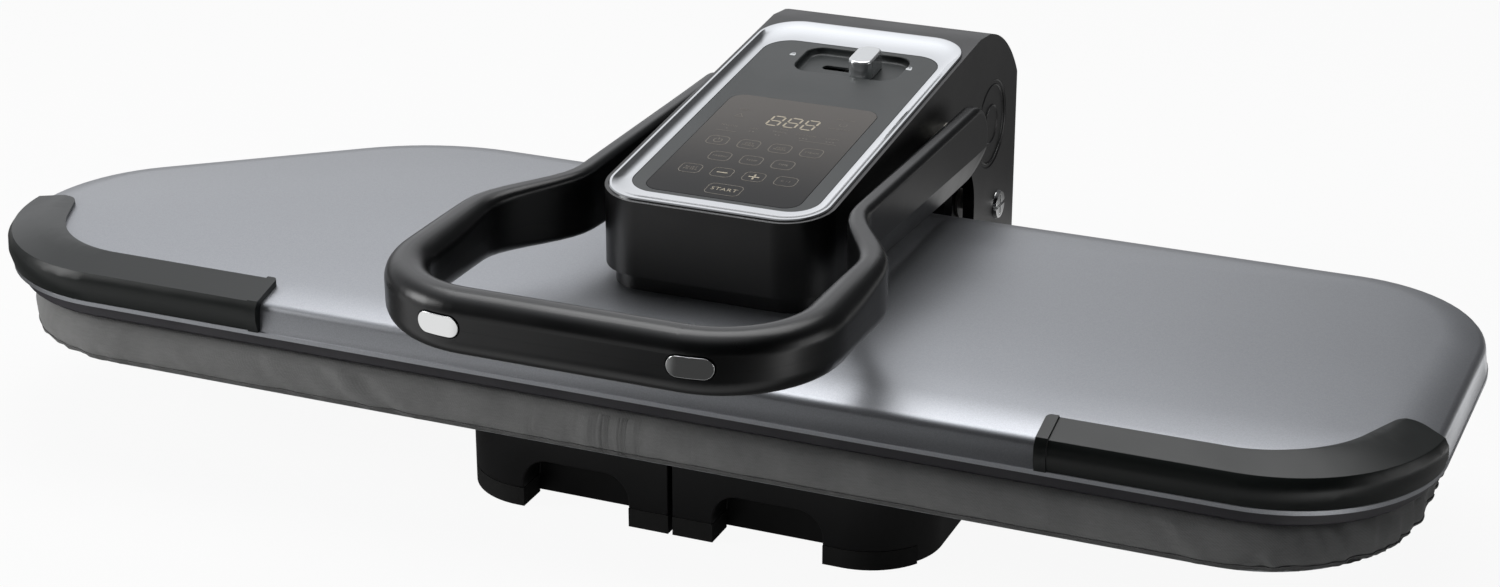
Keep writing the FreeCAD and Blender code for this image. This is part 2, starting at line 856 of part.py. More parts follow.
# Console: moulded housing with the column behind, open underneath
def upper_block(inset):
    """The console above its floor, moved in by the inset."""
    front, back = console_front + inset, console_back - inset
    floor = console_floor_height
    slope_end = console_back - ridge_set - ridge_blend
    crest = (slope_end, slope_height(slope_end) - inset)
    ridge = (console_back - ridge_set, ridge_height - inset)
    brow = (console_back - brow_set - inset, brow_height - inset)
    shoulder = (back, shoulder_height)
    edges = [
        line((front, floor), (front, slope_height(front) - inset)),
        line((front, slope_height(front) - inset), crest),
        line(crest, ridge),
        arc(ridge, brow, shoulder),
        line(shoulder, (back, floor)),
        line((back, floor), (front, floor)),
    ]
    solid = side_prism(edges, console_left + inset, console_right - inset)
    return solid.common(console_plan(inset, floor - 1, ridge_height + 10))


def console_plan(inset, z0, z1):
    corners = rectangle(console_left + inset, console_right - inset, console_front + inset,
                        console_back - inset)
    front, rear = console_corner - inset, console_rear_corner - inset
    return loop_prism(corners, [front, front, rear, rear], z0, z1)


def column_block():
    """The column under the console, with a rounded foot and a blend to the underside."""
    floor, low = console_floor_height, column_bottom
    front, back = column_front, console_back
    blend, f, b = column_blend, column_front_radius, column_back_radius
    cut = 1 - math.sqrt(0.5)
    edges = [
        line((front - blend, floor), (back, floor)),
        line((back, floor), (back, low + b)),
        arc((back, low + b), (back - b * cut, low + b * cut), (back - b, low)),
        line((back - b, low), (front + f, low)),
        arc((front + f, low), (front + f * cut, low + f * cut), (front, low + f)),
        line((front, low + f), (front, floor - blend)),
        arc((front, floor - blend), (front - blend * cut, floor - blend * cut), (front - blend, floor)),
    ]
    return side_prism(edges, console_left, console_right).common(console_plan(0, low - 1, floor + 1))


def tank_space(gap, reach):
    """The tank's outside with a gap round it, drawn out to the back by the reach."""
    half = tank_half + gap
    front = console_back - tank_length - gap
    return rounded_box(console_offset - half, console_offset + half, front, console_back + reach,
                       tank_bottom - gap, tank_top + gap, tank_corner + gap)


def make_console_housing():
    clear = console_half - column_wall
    x0, x1 = console_offset - clear, console_offset + clear
    inside_back = console_back - console_wall
    well = box(x0, x1, column_front - column_blend - 1, inside_back, column_bottom - 5,
               console_floor_height + 1)
    window = box(x0, x1, inside_back - 1, console_back + 5, column_bottom - 5, rear_window_top)
    shell = upper_block(0).fuse(column_block()).removeSplitter()
    shell = shell.cut(upper_block(console_wall)).cut(well).cut(window)
    rail_top = tank_bottom - tank_gap
    rail = box(x0 - 1, x0 + rail_reach, console_back - tank_length, inside_back + 0.5,
               rail_top - rail_thick, rail_top)
    shell = joined([shell, rail, mirrored(rail)])
    shell = shell.cut(on_slope(ring_prism(ring_lap, -fascia_depth - 30, 12)))
    shell = shell.cut(tank_space(tank_gap, 20)).cut(cap_channel())
    shell = shell.cut(Part.makeCompound(side_cap_discs(0.1, 1.0)))
    shell = shell.cut(rod_x(hinge_pin_radius, console_left - 5, console_right + 5, hinge_y, hinge_height))
    bush = shaft_bore + shaft_bush_wall
    return shell.cut(rod_x(bush, console_left - 5, console_right + 5, pivot_y, pivot_height))


def make_console_floor():
    """Moulded floor with stiffening ribs, open in the middle for the neck's passage."""
    inset = console_wall + fit_gap
    rear = column_front - column_blend - 3.0
    corners = rectangle(console_left + inset, console_right - inset, console_front + inset, rear)
    front = console_corner - inset
    plate = loop_prism(corners, [front, front, 2, 2], console_floor_height, floor_top)
    ribs = [box(console_offset + x - rib_thick / 2, console_offset + x + rib_thick / 2,
                console_front + rib_end, rear - rib_end, floor_top, floor_top + rib_tall)
            for x in (-rib_x, rib_x)]
    return joined([plate] + ribs).cut(neck_passage(neck_bore))


def make_neck():
    """Plinth between the console and the silver cover, set in on all sides."""
    x0, x1 = console_left + neck_side_set, console_right - neck_side_set
    y0, y1 = console_front + neck_front_set, cover_back - neck_rear_set
    wall = neck_wall
    outer = rounded_box(x0, x1, y0, y1, cover_top, console_floor_height, neck_corner)
    inner = rounded_box(x0 + wall, x1 - wall, y0 + wall, y1 - wall, cover_top - 1,
                        console_floor_height - neck_roof, neck_corner - wall)
    return outer.cut(inner).cut(neck_passage(neck_bore))


# Fascia: polished ring, panel plate, touch glass
def ring_corners(inset):
    return rectangle(-ring_half + inset, ring_half - inset, ring_front + inset, ring_rear - inset)


def ring_wire(inset, z):
    return loop_wire(ring_corners(inset), [ring_corner - inset] * 4, z)


def ring_prism(inset, z0, z1):
    return loop_prism(ring_corners(inset), [ring_corner - inset] * 4, z0, z1)


def panel_corners(inset):
    side = ring_half - ring_side - inset
    return rectangle(-side, side, ring_front + ring_front_band + inset,
                     ring_rear - ring_rear_band - inset)


def panel_prism(inset, z0, z1):
    return loop_prism(panel_corners(inset), [ring_hole_corner - inset] * 4, z0, z1)


def dish_wire(share):
    """Outline in the ring's face: the panel's at share 0, the brim's inner edge at share 1."""
    pairs = zip(panel_corners(0), ring_corners(ring_brim))
    corners = [(x0 + (x1 - x0) * share, y0 + (y1 - y0) * share) for (x0, y0), (x1, y1) in pairs]
    radius = ring_hole_corner + (ring_corner - ring_brim - ring_hole_corner) * share
    rise = (ring_stand + ring_drop + 0.01) * share ** ring_hollow
    return loop_wire(corners, [radius] * 4, rise - ring_drop)


def make_fascia_ring():
    """Polished rim: its outer edge laps over the housing and its hollow face dips to the panel."""
    collar = ring_prism(ring_lap + fit_gap, -fascia_depth, 0.05)
    edges = [(0.0, 0.05), (0.0, ring_stand - ring_edge), (ring_edge, ring_stand)]
    lap = Part.makeLoft([ring_wire(inset, z) for inset, z in edges], True, True)
    dish = Part.makeLoft([dish_wire(share) for share in (0.0, 0.25, 0.5, 0.75, 1.0)], True, True)
    ring = collar.fuse(lap).cut(dish)
    ring = ring.cut(panel_prism(0, panel_top - panel_thick, 0))
    return on_slope(ring.cut(panel_prism(ring_ledge, -fascia_depth - 1, 0)).removeSplitter())


def pocket_wire(inset, z):
    corners = rectangle(pocket_shift - pocket_half + inset, pocket_shift + pocket_half - inset,
                        pocket_middle - pocket_length / 2 + inset,
                        pocket_middle + pocket_length / 2 - inset)
    return loop_wire(corners, [pocket_corner - inset] * 4, z)


def pocket_bowl(grow):
    """Room of the sunk pocket, rounded at its foot and widened at its mouth, or grown by a wall."""
    rings = []
    for step in range(4):
        angle = math.pi / 2 * step / 3
        rings.append((pocket_foot * (1 - math.sin(angle)) - grow,
                      pocket_floor - grow + pocket_foot * (1 - math.cos(angle))))
    rings.append((-grow, panel_top - pocket_lip))
    rings.append((-grow - pocket_lip - 0.5, panel_top + 0.5))
    return Part.makeLoft([pocket_wire(inset, z) for inset, z in rings], True, True)


def glass_prism(gap, z0, z1):
    corners = rectangle(-glass_half - gap, glass_half + gap, glass_front - gap, glass_rear + gap)
    return loop_prism(corners, [glass_corner + gap] * 4, z0, z1)


def knob_block(grow, width, length, z0, z1):
    """Rounded block at the knob's place when locked, grown to the left by the given distance."""
    x, y = pocket_shift + knob_shift, pocket_middle
    radius = min(knob_corner, width / 2 - 0.01, length / 2 - 0.01)
    return rounded_box(x - width / 2 - grow, x + width / 2, y - length / 2, y + length / 2, z0, z1, radius)


def make_panel_plate():
    """Dark plate with a seat for the glass and a sunk pocket with a slot for the lock."""
    under = panel_top - panel_thick
    plate = panel_prism(fit_gap, under, panel_top)
    bowl = pocket_bowl(pocket_wall)
    plate = plate.fuse(bowl.common(panel_prism(ring_ledge + fit_gap, -fascia_depth - 20, under + 0.5)))
    plate = plate.cut(pocket_bowl(0.0))
    plate = plate.cut(glass_prism(seat_gap, panel_top - glass_thick, panel_top + 1))
    width = slot_width + 2 * 0.5
    plate = plate.cut(knob_block(lock_travel, width, width, pocket_floor - 10, panel_top))
    return on_slope(plate.removeSplitter())


def make_touch_glass():
    return on_slope(glass_prism(0, panel_top - glass_thick + 0.02, panel_top + 0.02))


def make_lock_knob():
    """Chromed knob with a domed top, on a stem that passes through the slot."""
    low = pocket_floor + knob_lift
    high = low + knob_height - knob_dome
    foot = knob_block(0, knob_width, knob_length, low, high)
    x, y = pocket_shift + knob_shift, pocket_middle
    rings = []
    for share in (0.0, 0.5, 0.8, 1.0):
        shrink = knob_dome * (1 - math.sqrt(1 - 0.98 * share * share))
        half, long_half = knob_width / 2 - shrink, knob_length / 2 - shrink
        corners = rectangle(x - half, x + half, y - long_half, y + long_half)
        rings.append(loop_wire(corners, [knob_corner - shrink] * 4, high + knob_dome * share))
    stem = knob_block(0, slot_width, slot_width, low - knob_stem, low)
    return on_slope(joined([foot, Part.makeLoft(rings, True, True), stem]))


def make_lock_slide():
    """Steel slide under the pocket, on the end of the knob's stem, with its locking tooth."""
    x, y = pocket_shift + knob_shift, pocket_middle
    top = pocket_floor + knob_lift - knob_stem
    low = top - lock_plate_thick
    plate = rounded_box(x - 16, x + 9, y - 9, y + 9, low, top, 3)
    tooth = rounded_box(x - 16, x - 10, y - 4, y + 4, low - lock_tooth, low, 1.5)
    return on_slope(joined([plate, tooth]))


def side_cap_discs(gap, proud):
    """Discs in the outer faces of the housing, over the bosses of the lift links."""
    y = console_back - side_cap_back_set
    disc = rod_x(side_cap_radius + gap, console_right - side_cap_thick, console_right + proud, y,
                 side_cap_height)
    return [disc, mirrored(disc)]


def make_side_caps():
    """Round caps with a shallow dish inside a raised rim."""
    y = console_back - side_cap_back_set
    disc = side_cap_discs(0, 0.0)[0]
    dish = rod_x(side_cap_radius - side_cap_rim, console_right - side_cap_dish, console_right + 1, y,
                 side_cap_height)
    hub = rod_x(side_cap_hub, console_right - side_cap_thick, console_right - 0.1, y, side_cap_height)
    return both_sides(disc.cut(dish).fuse(hub).removeSplitter())


# Services inside the console
def make_control_board():
    top = panel_top - panel_thick - 5.0
    board = rounded_box(-46, 46, 30, 150, top - 1.6, top, 3)
    chips = [box(x - 7, x + 7, y - 7, y + 7, top - 4.6, top - 1.6)
             for x, y in ((-22, 60), (18, 60), (-5, 110))]
    return on_slope(joined([board] + chips))


def make_steam_generator():
    """Cast block with a tapered lid, on the console's floor over the neck's passage."""
    body = rod_z(boiler_radius, console_offset, neck_middle, floor_top, floor_top + boiler_height)
    lid = Part.makeCone(boiler_radius, boiler_radius - 5, 4,
                        V(console_offset, neck_middle, floor_top + boiler_height))
    return body.fuse(lid).removeSplitter()


def make_steam_pipe():
    """Pipe from the generator down through the neck to the hot plate."""
    return rod_z(pipe_radius, console_offset, neck_middle, plate_deck, floor_top)


def make_water_pump():
    """Motor and pump head, lying on the console's floor in front of the rear screws."""
    rear_screw_y = max(y for x, y, z in console_screw_places())
    y = rear_screw_y - screw_head_radius - pump_clear - pump_length
    x = console_right - console_wall - pump_radius - pump_side
    z = floor_top + pump_radius
    motor = rod_y(pump_radius, x, y, y + pump_length, z)
    return motor.fuse(rod_y(pump_radius - 4, x, y - pump_snout, y, z)).removeSplitter()


# Water tank: a drawer in the back of the console, over the hinge
def tank_cap_y():
    return console_back - tank_length + cap_set


def make_water_tank():
    outer = tank_space(0, 0)
    front = console_back - tank_length
    inner = rounded_box(console_offset - tank_half + tank_wall, console_offset + tank_half - tank_wall,
                        front + tank_wall, console_back - tank_grip_deep - tank_wall,
                        tank_bottom + tank_wall, tank_top - tank_wall, tank_corner - tank_wall)
    grip_low = tank_bottom + tank_grip_rise
    grip = rounded_box(console_offset - tank_grip_half, console_offset + tank_grip_half,
                       console_back - tank_grip_deep, console_back + 10, grip_low,
                       grip_low + tank_grip_tall, 3)
    filler = rod_z(cap_radius - cap_wall, console_offset, tank_cap_y(), tank_top - 5, tank_top + 1)
    return outer.cut(inner).cut(grip).cut(filler)


def make_tank_cap():
    """Rubber bung with a rim and a finger bar."""
    y = tank_cap_y()
    plug = rod_z(cap_radius - cap_wall, console_offset, y, tank_top - tank_wall, tank_top)
    bore = rod_z(cap_radius - 2 * cap_wall, console_offset, y, tank_top - tank_wall - 1, tank_top)
    rim = rod_z(cap_radius, console_offset, y, tank_top, tank_top + cap_height)
    bar = box(console_offset - cap_radius + 3, console_offset + cap_radius - 3, y - 1.5, y + 1.5,
              tank_top + cap_height, tank_top + cap_height + 3)
    return joined([plug.cut(bore), rim, bar])


def cap_channel():
    """Way through the back of the housing for the tank's cap."""
    half = cap_radius + 1
    return box(console_offset - half, console_offset + half, tank_cap_y() - half, console_back + 5,
               tank_top - 1, tank_top + cap_height + 4)


def gland_sleeve():
    start = base_rear - base_wall
    return rod_y(gland_radius, console_offset + gland_x, start, base_rear + gland_reach, gland_height)


def make_cord_gland():
    """Bare sleeve at the back of the base where a supply cord would enter."""
    bore = rod_y(gland_bore, console_offset + gland_x, base_rear - 2 * base_wall,
                 base_rear + 2 * gland_reach, gland_height)
    return gland_sleeve().cut(bore)


# Handle: a round grip that thins into a flat arm on each side of the console
Limb = collections.namedtuple("Limb", "grip_thick grip_tall grip_round arm_thick arm_tall arm_round")
SHELL = Limb(grip_thick, grip_tall, grip_round, arm_thick, arm_tall, arm_round)
CORE = Limb(core_grip_thick, core_grip_tall, 0.0, core_arm_thick, core_arm_tall, 0.0)


def grown(limb, gap):
    return limb._replace(grip_thick=limb.grip_thick + 2 * gap, grip_tall=limb.grip_tall + 2 * gap,
                         arm_thick=limb.arm_thick + 2 * gap, arm_tall=limb.arm_tall + 2 * gap)


def cross_section(thick, tall, roundness, heading, x, y, z):
    """Rounded rectangle across a path that runs back at the given heading, in degrees."""
    corners = rectangle(-thick / 2, thick / 2, -tall / 2, tall / 2)
    if roundness:
        wire = Part.Wire(loop_edges(corners, [min(thick, tall) / 2 * roundness] * 4))
    else:
        points = [V(px, py, 0) for px, py in corners]
        wire = Part.makePolygon(points + points[:1])
    wire.rotate(V(0, 0, 0), V(1, 0, 0), 90)
    wire.rotate(V(0, 0, 0), V(0, 0, 1), heading)
    wire.translate(V(x, y, z))
    return wire


def eased(back, start, end):
    """Smooth step from nothing to one, between two distances behind the corner."""
    share = min(max((back - start) / (end - start), 0.0), 1.0)
    return (1 - math.cos(math.pi * share)) / 2


def path_x(back):
    swing = eased(back, loop_straight, loop_straight + swing_run)
    return loop_half + (arm_x - loop_half) * swing


def arm_section(limb, back):
    """Section of a side at a distance behind its corner."""
    thin = eased(back, 0.0, thin_run)
    deep = eased(back, 0.0, pivot_y - corner_y)
    heading = math.degrees(math.atan((path_x(back - 0.5) - path_x(back + 0.5))))
    return cross_section(
        limb.grip_thick + (limb.arm_thick - limb.grip_thick) * thin,
        limb.grip_tall + (limb.arm_tall - limb.grip_tall) * deep,
        limb.grip_round + (limb.arm_round - limb.grip_round) * thin,
        heading, path_x(back), corner_y + back, grip_height + (pivot_height - grip_height) * deep)


def side_places():
    """Distances behind the corner at which a side has its sections."""
    stops = (0.0, loop_straight, loop_straight + swing_run, pivot_y - corner_y)
    places = [0.0]
    for start, end, count in zip(stops, stops[1:], (side_stations, swing_stations, arm_stations)):
        places += [start + (end - start) * i / count for i in range(1, count + 1)]
    return places


def right_limb(limb):
    """Right half of the handle about x = 0: bar, corner, side, swing, flat arm and round end."""
    across = Part.Face(cross_section(limb.grip_thick, limb.grip_tall, limb.grip_round, 90, 0, grip_y,
                                     grip_height))
    bar = across.extrude(V(corner_x, 0, 0))
    across.translate(V(corner_x, 0, 0))
    corner = across.revolve(V(corner_x, corner_y, 0), V(0, 0, 1), 90)
    sections = [arm_section(limb, back) for back in side_places()]
    side = Part.makeLoft(sections, True, True)
    flat = Part.Face(sections[-1])
    above = flat.common(box(0, everywhere, -everywhere, everywhere, pivot_height, everywhere))
    end = above.revolve(V(0, pivot_y, pivot_height), V(1, 0, 0), -180)
    return bar.multiFuse([corner, side, end])


def whole_handle(limb):
    right = right_limb(limb)
    handle = right.fuse(right.mirror(V(0, 0, 0), V(1, 0, 0)))
    handle.translate(V(console_offset, 0, 0))
    return handle


def seam_points():
    """Seam between the shells, from the side: level on the grip, a dip, then down the arm."""
    grip = grip_height - seam_drop
    return [(-everywhere, grip), (corner_y + seam_dip_start, grip),
            (corner_y + seam_dip_end, grip - seam_dip), (pivot_y, pivot_height - seam_arm_drop),
            (everywhere, pivot_height - seam_arm_drop)]


def seam_height(y):
    points = seam_points()
    for (y0, z0), (y1, z1) in zip(points, points[1:]):
        if y <= y1:
            return z0 + (z1 - z0) * (y - y0) / (y1 - y0)
    return points[-1][1]


def facet_cutter():
    """Wedge that leans the lower outside of the right arm in, fading out towards the grip."""
    outside = console_offset + arm_x + arm_thick / 2
    bottom = pivot_height - arm_tall
    full_drop = seam_arm_drop - arm_tall / 2

    def slice_at(y, out):
        crease = seam_height(y) - seam_ledge
        inner = outside + out + facet_in * (crease - bottom) / full_drop
        far = outside + 2 * facet_fade
        points = [V(outside + out, y, crease), V(inner, y, bottom), V(far, y, bottom), V(far, y, crease)]
        return Part.makePolygon(points + points[:1])

    slices = [slice_at(corner_y + facet_start, facet_fade), slice_at(corner_y + facet_full, 0.0),
              slice_at(pivot_y, 0.0), slice_at(pivot_y + arm_tall, 0.0)]
    return Part.makeLoft(slices, True, True)


def below_parting():
    """Everything under the shells' seam."""
    points = seam_points() + [(everywhere, 0), (-everywhere, 0)]
    edges = [line(points[i], points[(i + 1) % len(points)]) for i in range(len(points))]
    return side_prism(edges, -everywhere, everywhere)


# Steam buttons, drawn at the front of the grip and turned round its corner
def button_turn():
    reach = loop_corner + grip_thick / 2
    return math.degrees(math.asin((button_x - corner_x) / reach))


def round_corner(shape, side):
    """Turn a shape about the axis of the grip's corner to the button's place."""
    middle = V(console_offset + side * corner_x, corner_y, 0)
    shape.rotate(middle, V(0, 0, 1), side * button_turn())
    return shape


def button_block(side, grow, y0, y1):
    x = console_offset + side * corner_x
    half, tall = button_half + grow, button_tall / 2 + grow
    wire = Part.Wire(loop_edges(rectangle(x - half, x + half, button_height - tall, button_height + tall),
                                [tall - 0.01] * 4))
    wire.rotate(V(0, 0, 0), V(1, 0, 0), 90)
    wire.translate(V(0, y0, 0))
    return Part.Face(wire).extrude(V(0, y1 - y0, 0))


def core_front():
    """Front face of the steel core's channel where it passes the buttons."""
    return grip_y - core_grip_thick / 2 - core_gap


def button_well(side):
    block = button_block(side, button_gap, handle_front - button_half, core_front() - fit_touch)
    return round_corner(block, side)


def make_button(side):
    x = console_offset + side * corner_x
    front_radius = loop_corner + grip_thick / 2 + button_stand
    drum = rod_z(front_radius, x, corner_y, grip_height - grip_tall, grip_height + grip_tall)
    cap = button_block(side, 0, handle_front - button_half, handle_front + button_deep).common(drum)
    return round_corner(cap, side)


def make_switches():
    switches = []
    for side in SIDES:
        x = console_offset + side * corner_x
        back = core_front() - switch_set
        body = box(x - switch_half, x + switch_half, back - switch_thick, back,
                   button_height - switch_half, button_height + switch_half)
        switches.append(round_corner(body, side))
    return Part.makeCompound(switches)


def make_handle():
    """The two shells, split along the seam, and the steel core that they close on."""
    outer = whole_handle(SHELL)
    cutter = facet_cutter()
    outer = outer.cut(cutter).cut(mirrored(cutter))
    shell = outer.cut(whole_handle(grown(CORE, core_gap)))
    wells = Part.makeCompound([button_well(side) for side in SIDES])
    shell = shell.cut(wells).cut(shaft_bar())
    below = below_parting()
    core = whole_handle(CORE).cut(shaft_bar()).removeSplitter()
    return shell.cut(below).removeSplitter(), shell.common(below).removeSplitter(), core


def shaft_bar():
    reach = arm_x + core_arm_thick / 2
    return rod_x(shaft_radius, console_offset - reach, console_offset + reach, pivot_y, pivot_height)


def make_pivot_bushes():
    return make_bushes(shaft_bore, shaft_bush_wall, shaft_bush_radius, console_half - console_wall,
                       console_half, shaft_bush_flange, pivot_y, pivot_height)


def make_spacers():
    """Washers on the shaft between the bushes and the arms."""
    inner = console_half + shaft_bush_flange + spacer_gap
    outer = arm_x - arm_thick / 2
    disc = rod_x(spacer_radius, console_offset + inner, console_offset + outer, pivot_y, pivot_height)
    return both_sides(disc.cut(shaft_bar()))


def make_crank():
    """Crank on the shaft inside the console, with the hole for the pressure link."""
    x0, x1 = console_offset - crank_thick / 2, console_offset + crank_thick / 2
    hub = rod_x(crank_radius, x0, x1, pivot_y, pivot_height)
    eye_y = pivot_y + crank_reach
    eye = rod_x(crank_radius / 2, x0, x1, eye_y, pivot_height)
    arm = box(x0, x1, pivot_y, eye_y, pivot_height - crank_radius / 2, pivot_height + crank_radius / 2)
    crank = joined([hub, eye, arm])
    return crank.cut(shaft_bar()).cut(rod_x(crank_hole, x0 - 1, x1 + 1, eye_y, pivot_height))


# Screws
def screw(x, y, z, way):
    """Round-headed screw with its head at z, pointing up or down."""
    head = Part.makeCone(screw_head_radius - 1, screw_head_radius, screw_head, V(x, y, z), V(0, 0, way))
    shank = Part.makeCylinder(screw_radius, screw_length, V(x, y, z), V(0, 0, way))
    return head.fuse(shank).removeSplitter()


def base_screw_places():
    places = post_places(-1) + post_places(1)
    return [(x, y, deck_under - chassis_thick - screw_head) for x, y in places]


def console_screw_places():
    y0, y1 = console_front + 2 * neck_corner, cover_back - neck_rear_set - neck_corner
    return [(console_offset + side * neck_screw_x, y, floor_top + screw_head) for side in SIDES for y in (y0, y1)]


def make_base_screws():
    return Part.makeCompound([screw(x, y, z, 1) for x, y, z in base_screw_places()])


def make_console_screws():
    return Part.makeCompound([screw(x, y, z, -1) for x, y, z in console_screw_places()])


def make_all():
    """Every node by name, with the screw holes cut in what the screws pass through."""
    guards = guard_shell()
    handle_upper, handle_lower, handle_core = make_handle()
    base_screws = make_base_screws()
    console_screws = make_console_screws()
    return {
        "top_cover": make_top_cover(),
        "nose_guard": make_nose_guard(guards),
        "corner_guard": make_corner_guard(guards),
        "heat_plate": make_heat_plate(),
        "heating_element": make_heating_element(),
        "plate_studs": plate_studs(stud_radius),
        "plate_insulation": make_insulation(),
        "board_tray": make_board_tray(),
        "board_pad": make_board_pad(),
        "board_cover": make_board_cover(),
        "cover_hem": make_cover_hem(),
        "base_left": make_base_half(-1).cut(base_screws),
        "base_right": make_base_half(1).cut(base_screws).cut(gland_sleeve()),
        "rubber_shoes": make_shoes(),
        "bottom_plate": make_bottom_plate(),
        "base_chassis": make_chassis().cut(base_screws),
        "base_screws": base_screws,
        "hinge_tower": make_hinge_tower(),
        "hinge_bushes": make_hinge_bushes(),
        "hinge_pin": make_hinge_pin(),
        "console_housing": make_console_housing(),
        "console_floor": make_console_floor().cut(console_screws),
        "plate_neck": make_neck().cut(console_screws),
        "console_screws": console_screws,
        "fascia_ring": make_fascia_ring(),
        "panel_plate": make_panel_plate(),
        "touch_glass": make_touch_glass(),
        "lock_knob": make_lock_knob(),
        "lock_slide": make_lock_slide(),
        "side_caps": make_side_caps(),
        "control_board": make_control_board(),
        "steam_generator": make_steam_generator(),
        "steam_pipe": make_steam_pipe(),
        "water_pump": make_water_pump(),
        "water_tank": make_water_tank(),
        "tank_cap": make_tank_cap(),
        "cord_gland": make_cord_gland(),
        "handle_upper": handle_upper,
        "handle_lower": handle_lower,
        "handle_core": handle_core,
        "pivot_shaft": shaft_bar(),
        "pivot_bushes": make_pivot_bushes(),
        "pivot_spacers": make_spacers(),
        "pressure_crank": make_crank(),
        "steam_button_left": make_button(-1),
        "steam_button_right": make_button(1),
        "steam_switches": make_switches(),
    }


if __name__ == "__main__":
    os.makedirs("parts", exist_ok=True)
    for name, shape in make_all().items():
        export(name, shape)
        if not shape.isValid():
            print("not valid:", name)
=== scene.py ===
"""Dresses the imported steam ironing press: finishes, soft goods, small details, camera and light."""

import json
import logging
import math
from collections.abc import Callable, Iterable, Iterator
from contextlib import contextmanager
from dataclasses import dataclass, field
from enum import Enum

import bpy
from mathutils import Matrix, Vector

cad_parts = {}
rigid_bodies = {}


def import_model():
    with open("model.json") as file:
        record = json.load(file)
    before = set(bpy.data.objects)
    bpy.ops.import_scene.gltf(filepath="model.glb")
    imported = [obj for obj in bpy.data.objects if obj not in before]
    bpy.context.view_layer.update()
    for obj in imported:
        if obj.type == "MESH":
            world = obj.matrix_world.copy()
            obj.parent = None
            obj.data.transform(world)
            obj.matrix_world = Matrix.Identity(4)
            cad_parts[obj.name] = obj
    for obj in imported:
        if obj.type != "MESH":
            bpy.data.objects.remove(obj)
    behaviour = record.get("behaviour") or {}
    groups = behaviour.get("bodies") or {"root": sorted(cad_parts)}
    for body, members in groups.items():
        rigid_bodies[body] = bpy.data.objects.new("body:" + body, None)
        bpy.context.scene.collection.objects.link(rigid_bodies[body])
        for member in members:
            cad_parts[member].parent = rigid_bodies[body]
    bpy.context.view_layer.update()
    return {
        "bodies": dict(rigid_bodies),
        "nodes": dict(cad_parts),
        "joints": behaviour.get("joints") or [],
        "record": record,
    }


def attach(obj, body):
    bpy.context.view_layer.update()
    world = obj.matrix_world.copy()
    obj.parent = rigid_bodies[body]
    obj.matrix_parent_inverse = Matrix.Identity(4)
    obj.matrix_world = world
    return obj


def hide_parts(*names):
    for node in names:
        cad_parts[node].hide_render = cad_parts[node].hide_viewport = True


log = logging.getLogger("steam_press")

MM = 0.001
Point = tuple[float, float, float]
# Start and end of a range, and the strengths there
Ramp = tuple[float, float, float, float]


# Colours and nodes
def linear(code: str) -> tuple[float, float, float, float]:
    """Turn an sRGB hex colour into the linear RGBA that shader sockets take.

    Args:
        code: Colour such as "#9a9da1".

    Returns:
        Linear red, green and blue with an alpha of one.
    """
    values = [int(code[i:i + 2], 16) / 255 for i in (1, 3, 5)]
    curved = [v / 12.92 if v <= 0.04045 else ((v + 0.055) / 1.055) ** 2.4 for v in values]
    return (curved[0], curved[1], curved[2], 1.0)


def add(tree: bpy.types.NodeTree, kind: str, settings: dict | None = None,
        links: dict | None = None) -> bpy.types.Node:
    """Add a node, set its properties or sockets by name, and link sockets into it.

    Args:
        tree: Node tree that gets the node.
        kind: Node class, such as "ShaderNodeBump".
        settings: Values by property name, input name or input number.
        links: Output sockets by input name or number.

    Returns:
        The new node.
    """
    node = tree.nodes.new(kind)
    for name, value in (settings or {}).items():
        if isinstance(name, str) and hasattr(node, name):
            setattr(node, name, value)
        else:
            node.inputs[name].default_value = value
    for name, socket in (links or {}).items():
        tree.links.new(socket, node.inputs[name])
    return node


class Slot(Enum):
    """Material slots of the record, one of which each finish names."""

    MOULDING = "moulding"
    SOFT_BLACK = "soft_black"
    GUARD = "guard_plastic"
    ENAMEL = "silver_enamel"
    RIM = "polished_rim"
    PANEL = "panel_plastic"
    GLASS = "smoked_glass"
    CHROME = "chrome"
    PLATE = "plate_alloy"
    CAST = "cast_alloy"
    ELEMENT = "element_steel"
    INSULATION = "insulation"
    CLOTH = "cover_cloth"
    ZINC = "zinc_steel"
    SCREW = "screw_steel"
    RUBBER = "shoe_rubber"
    BUSH = "bush_plastic"
    BOARD = "circuit_board"
    COPPER = "copper_pipe"
    TANK = "tank_plastic"


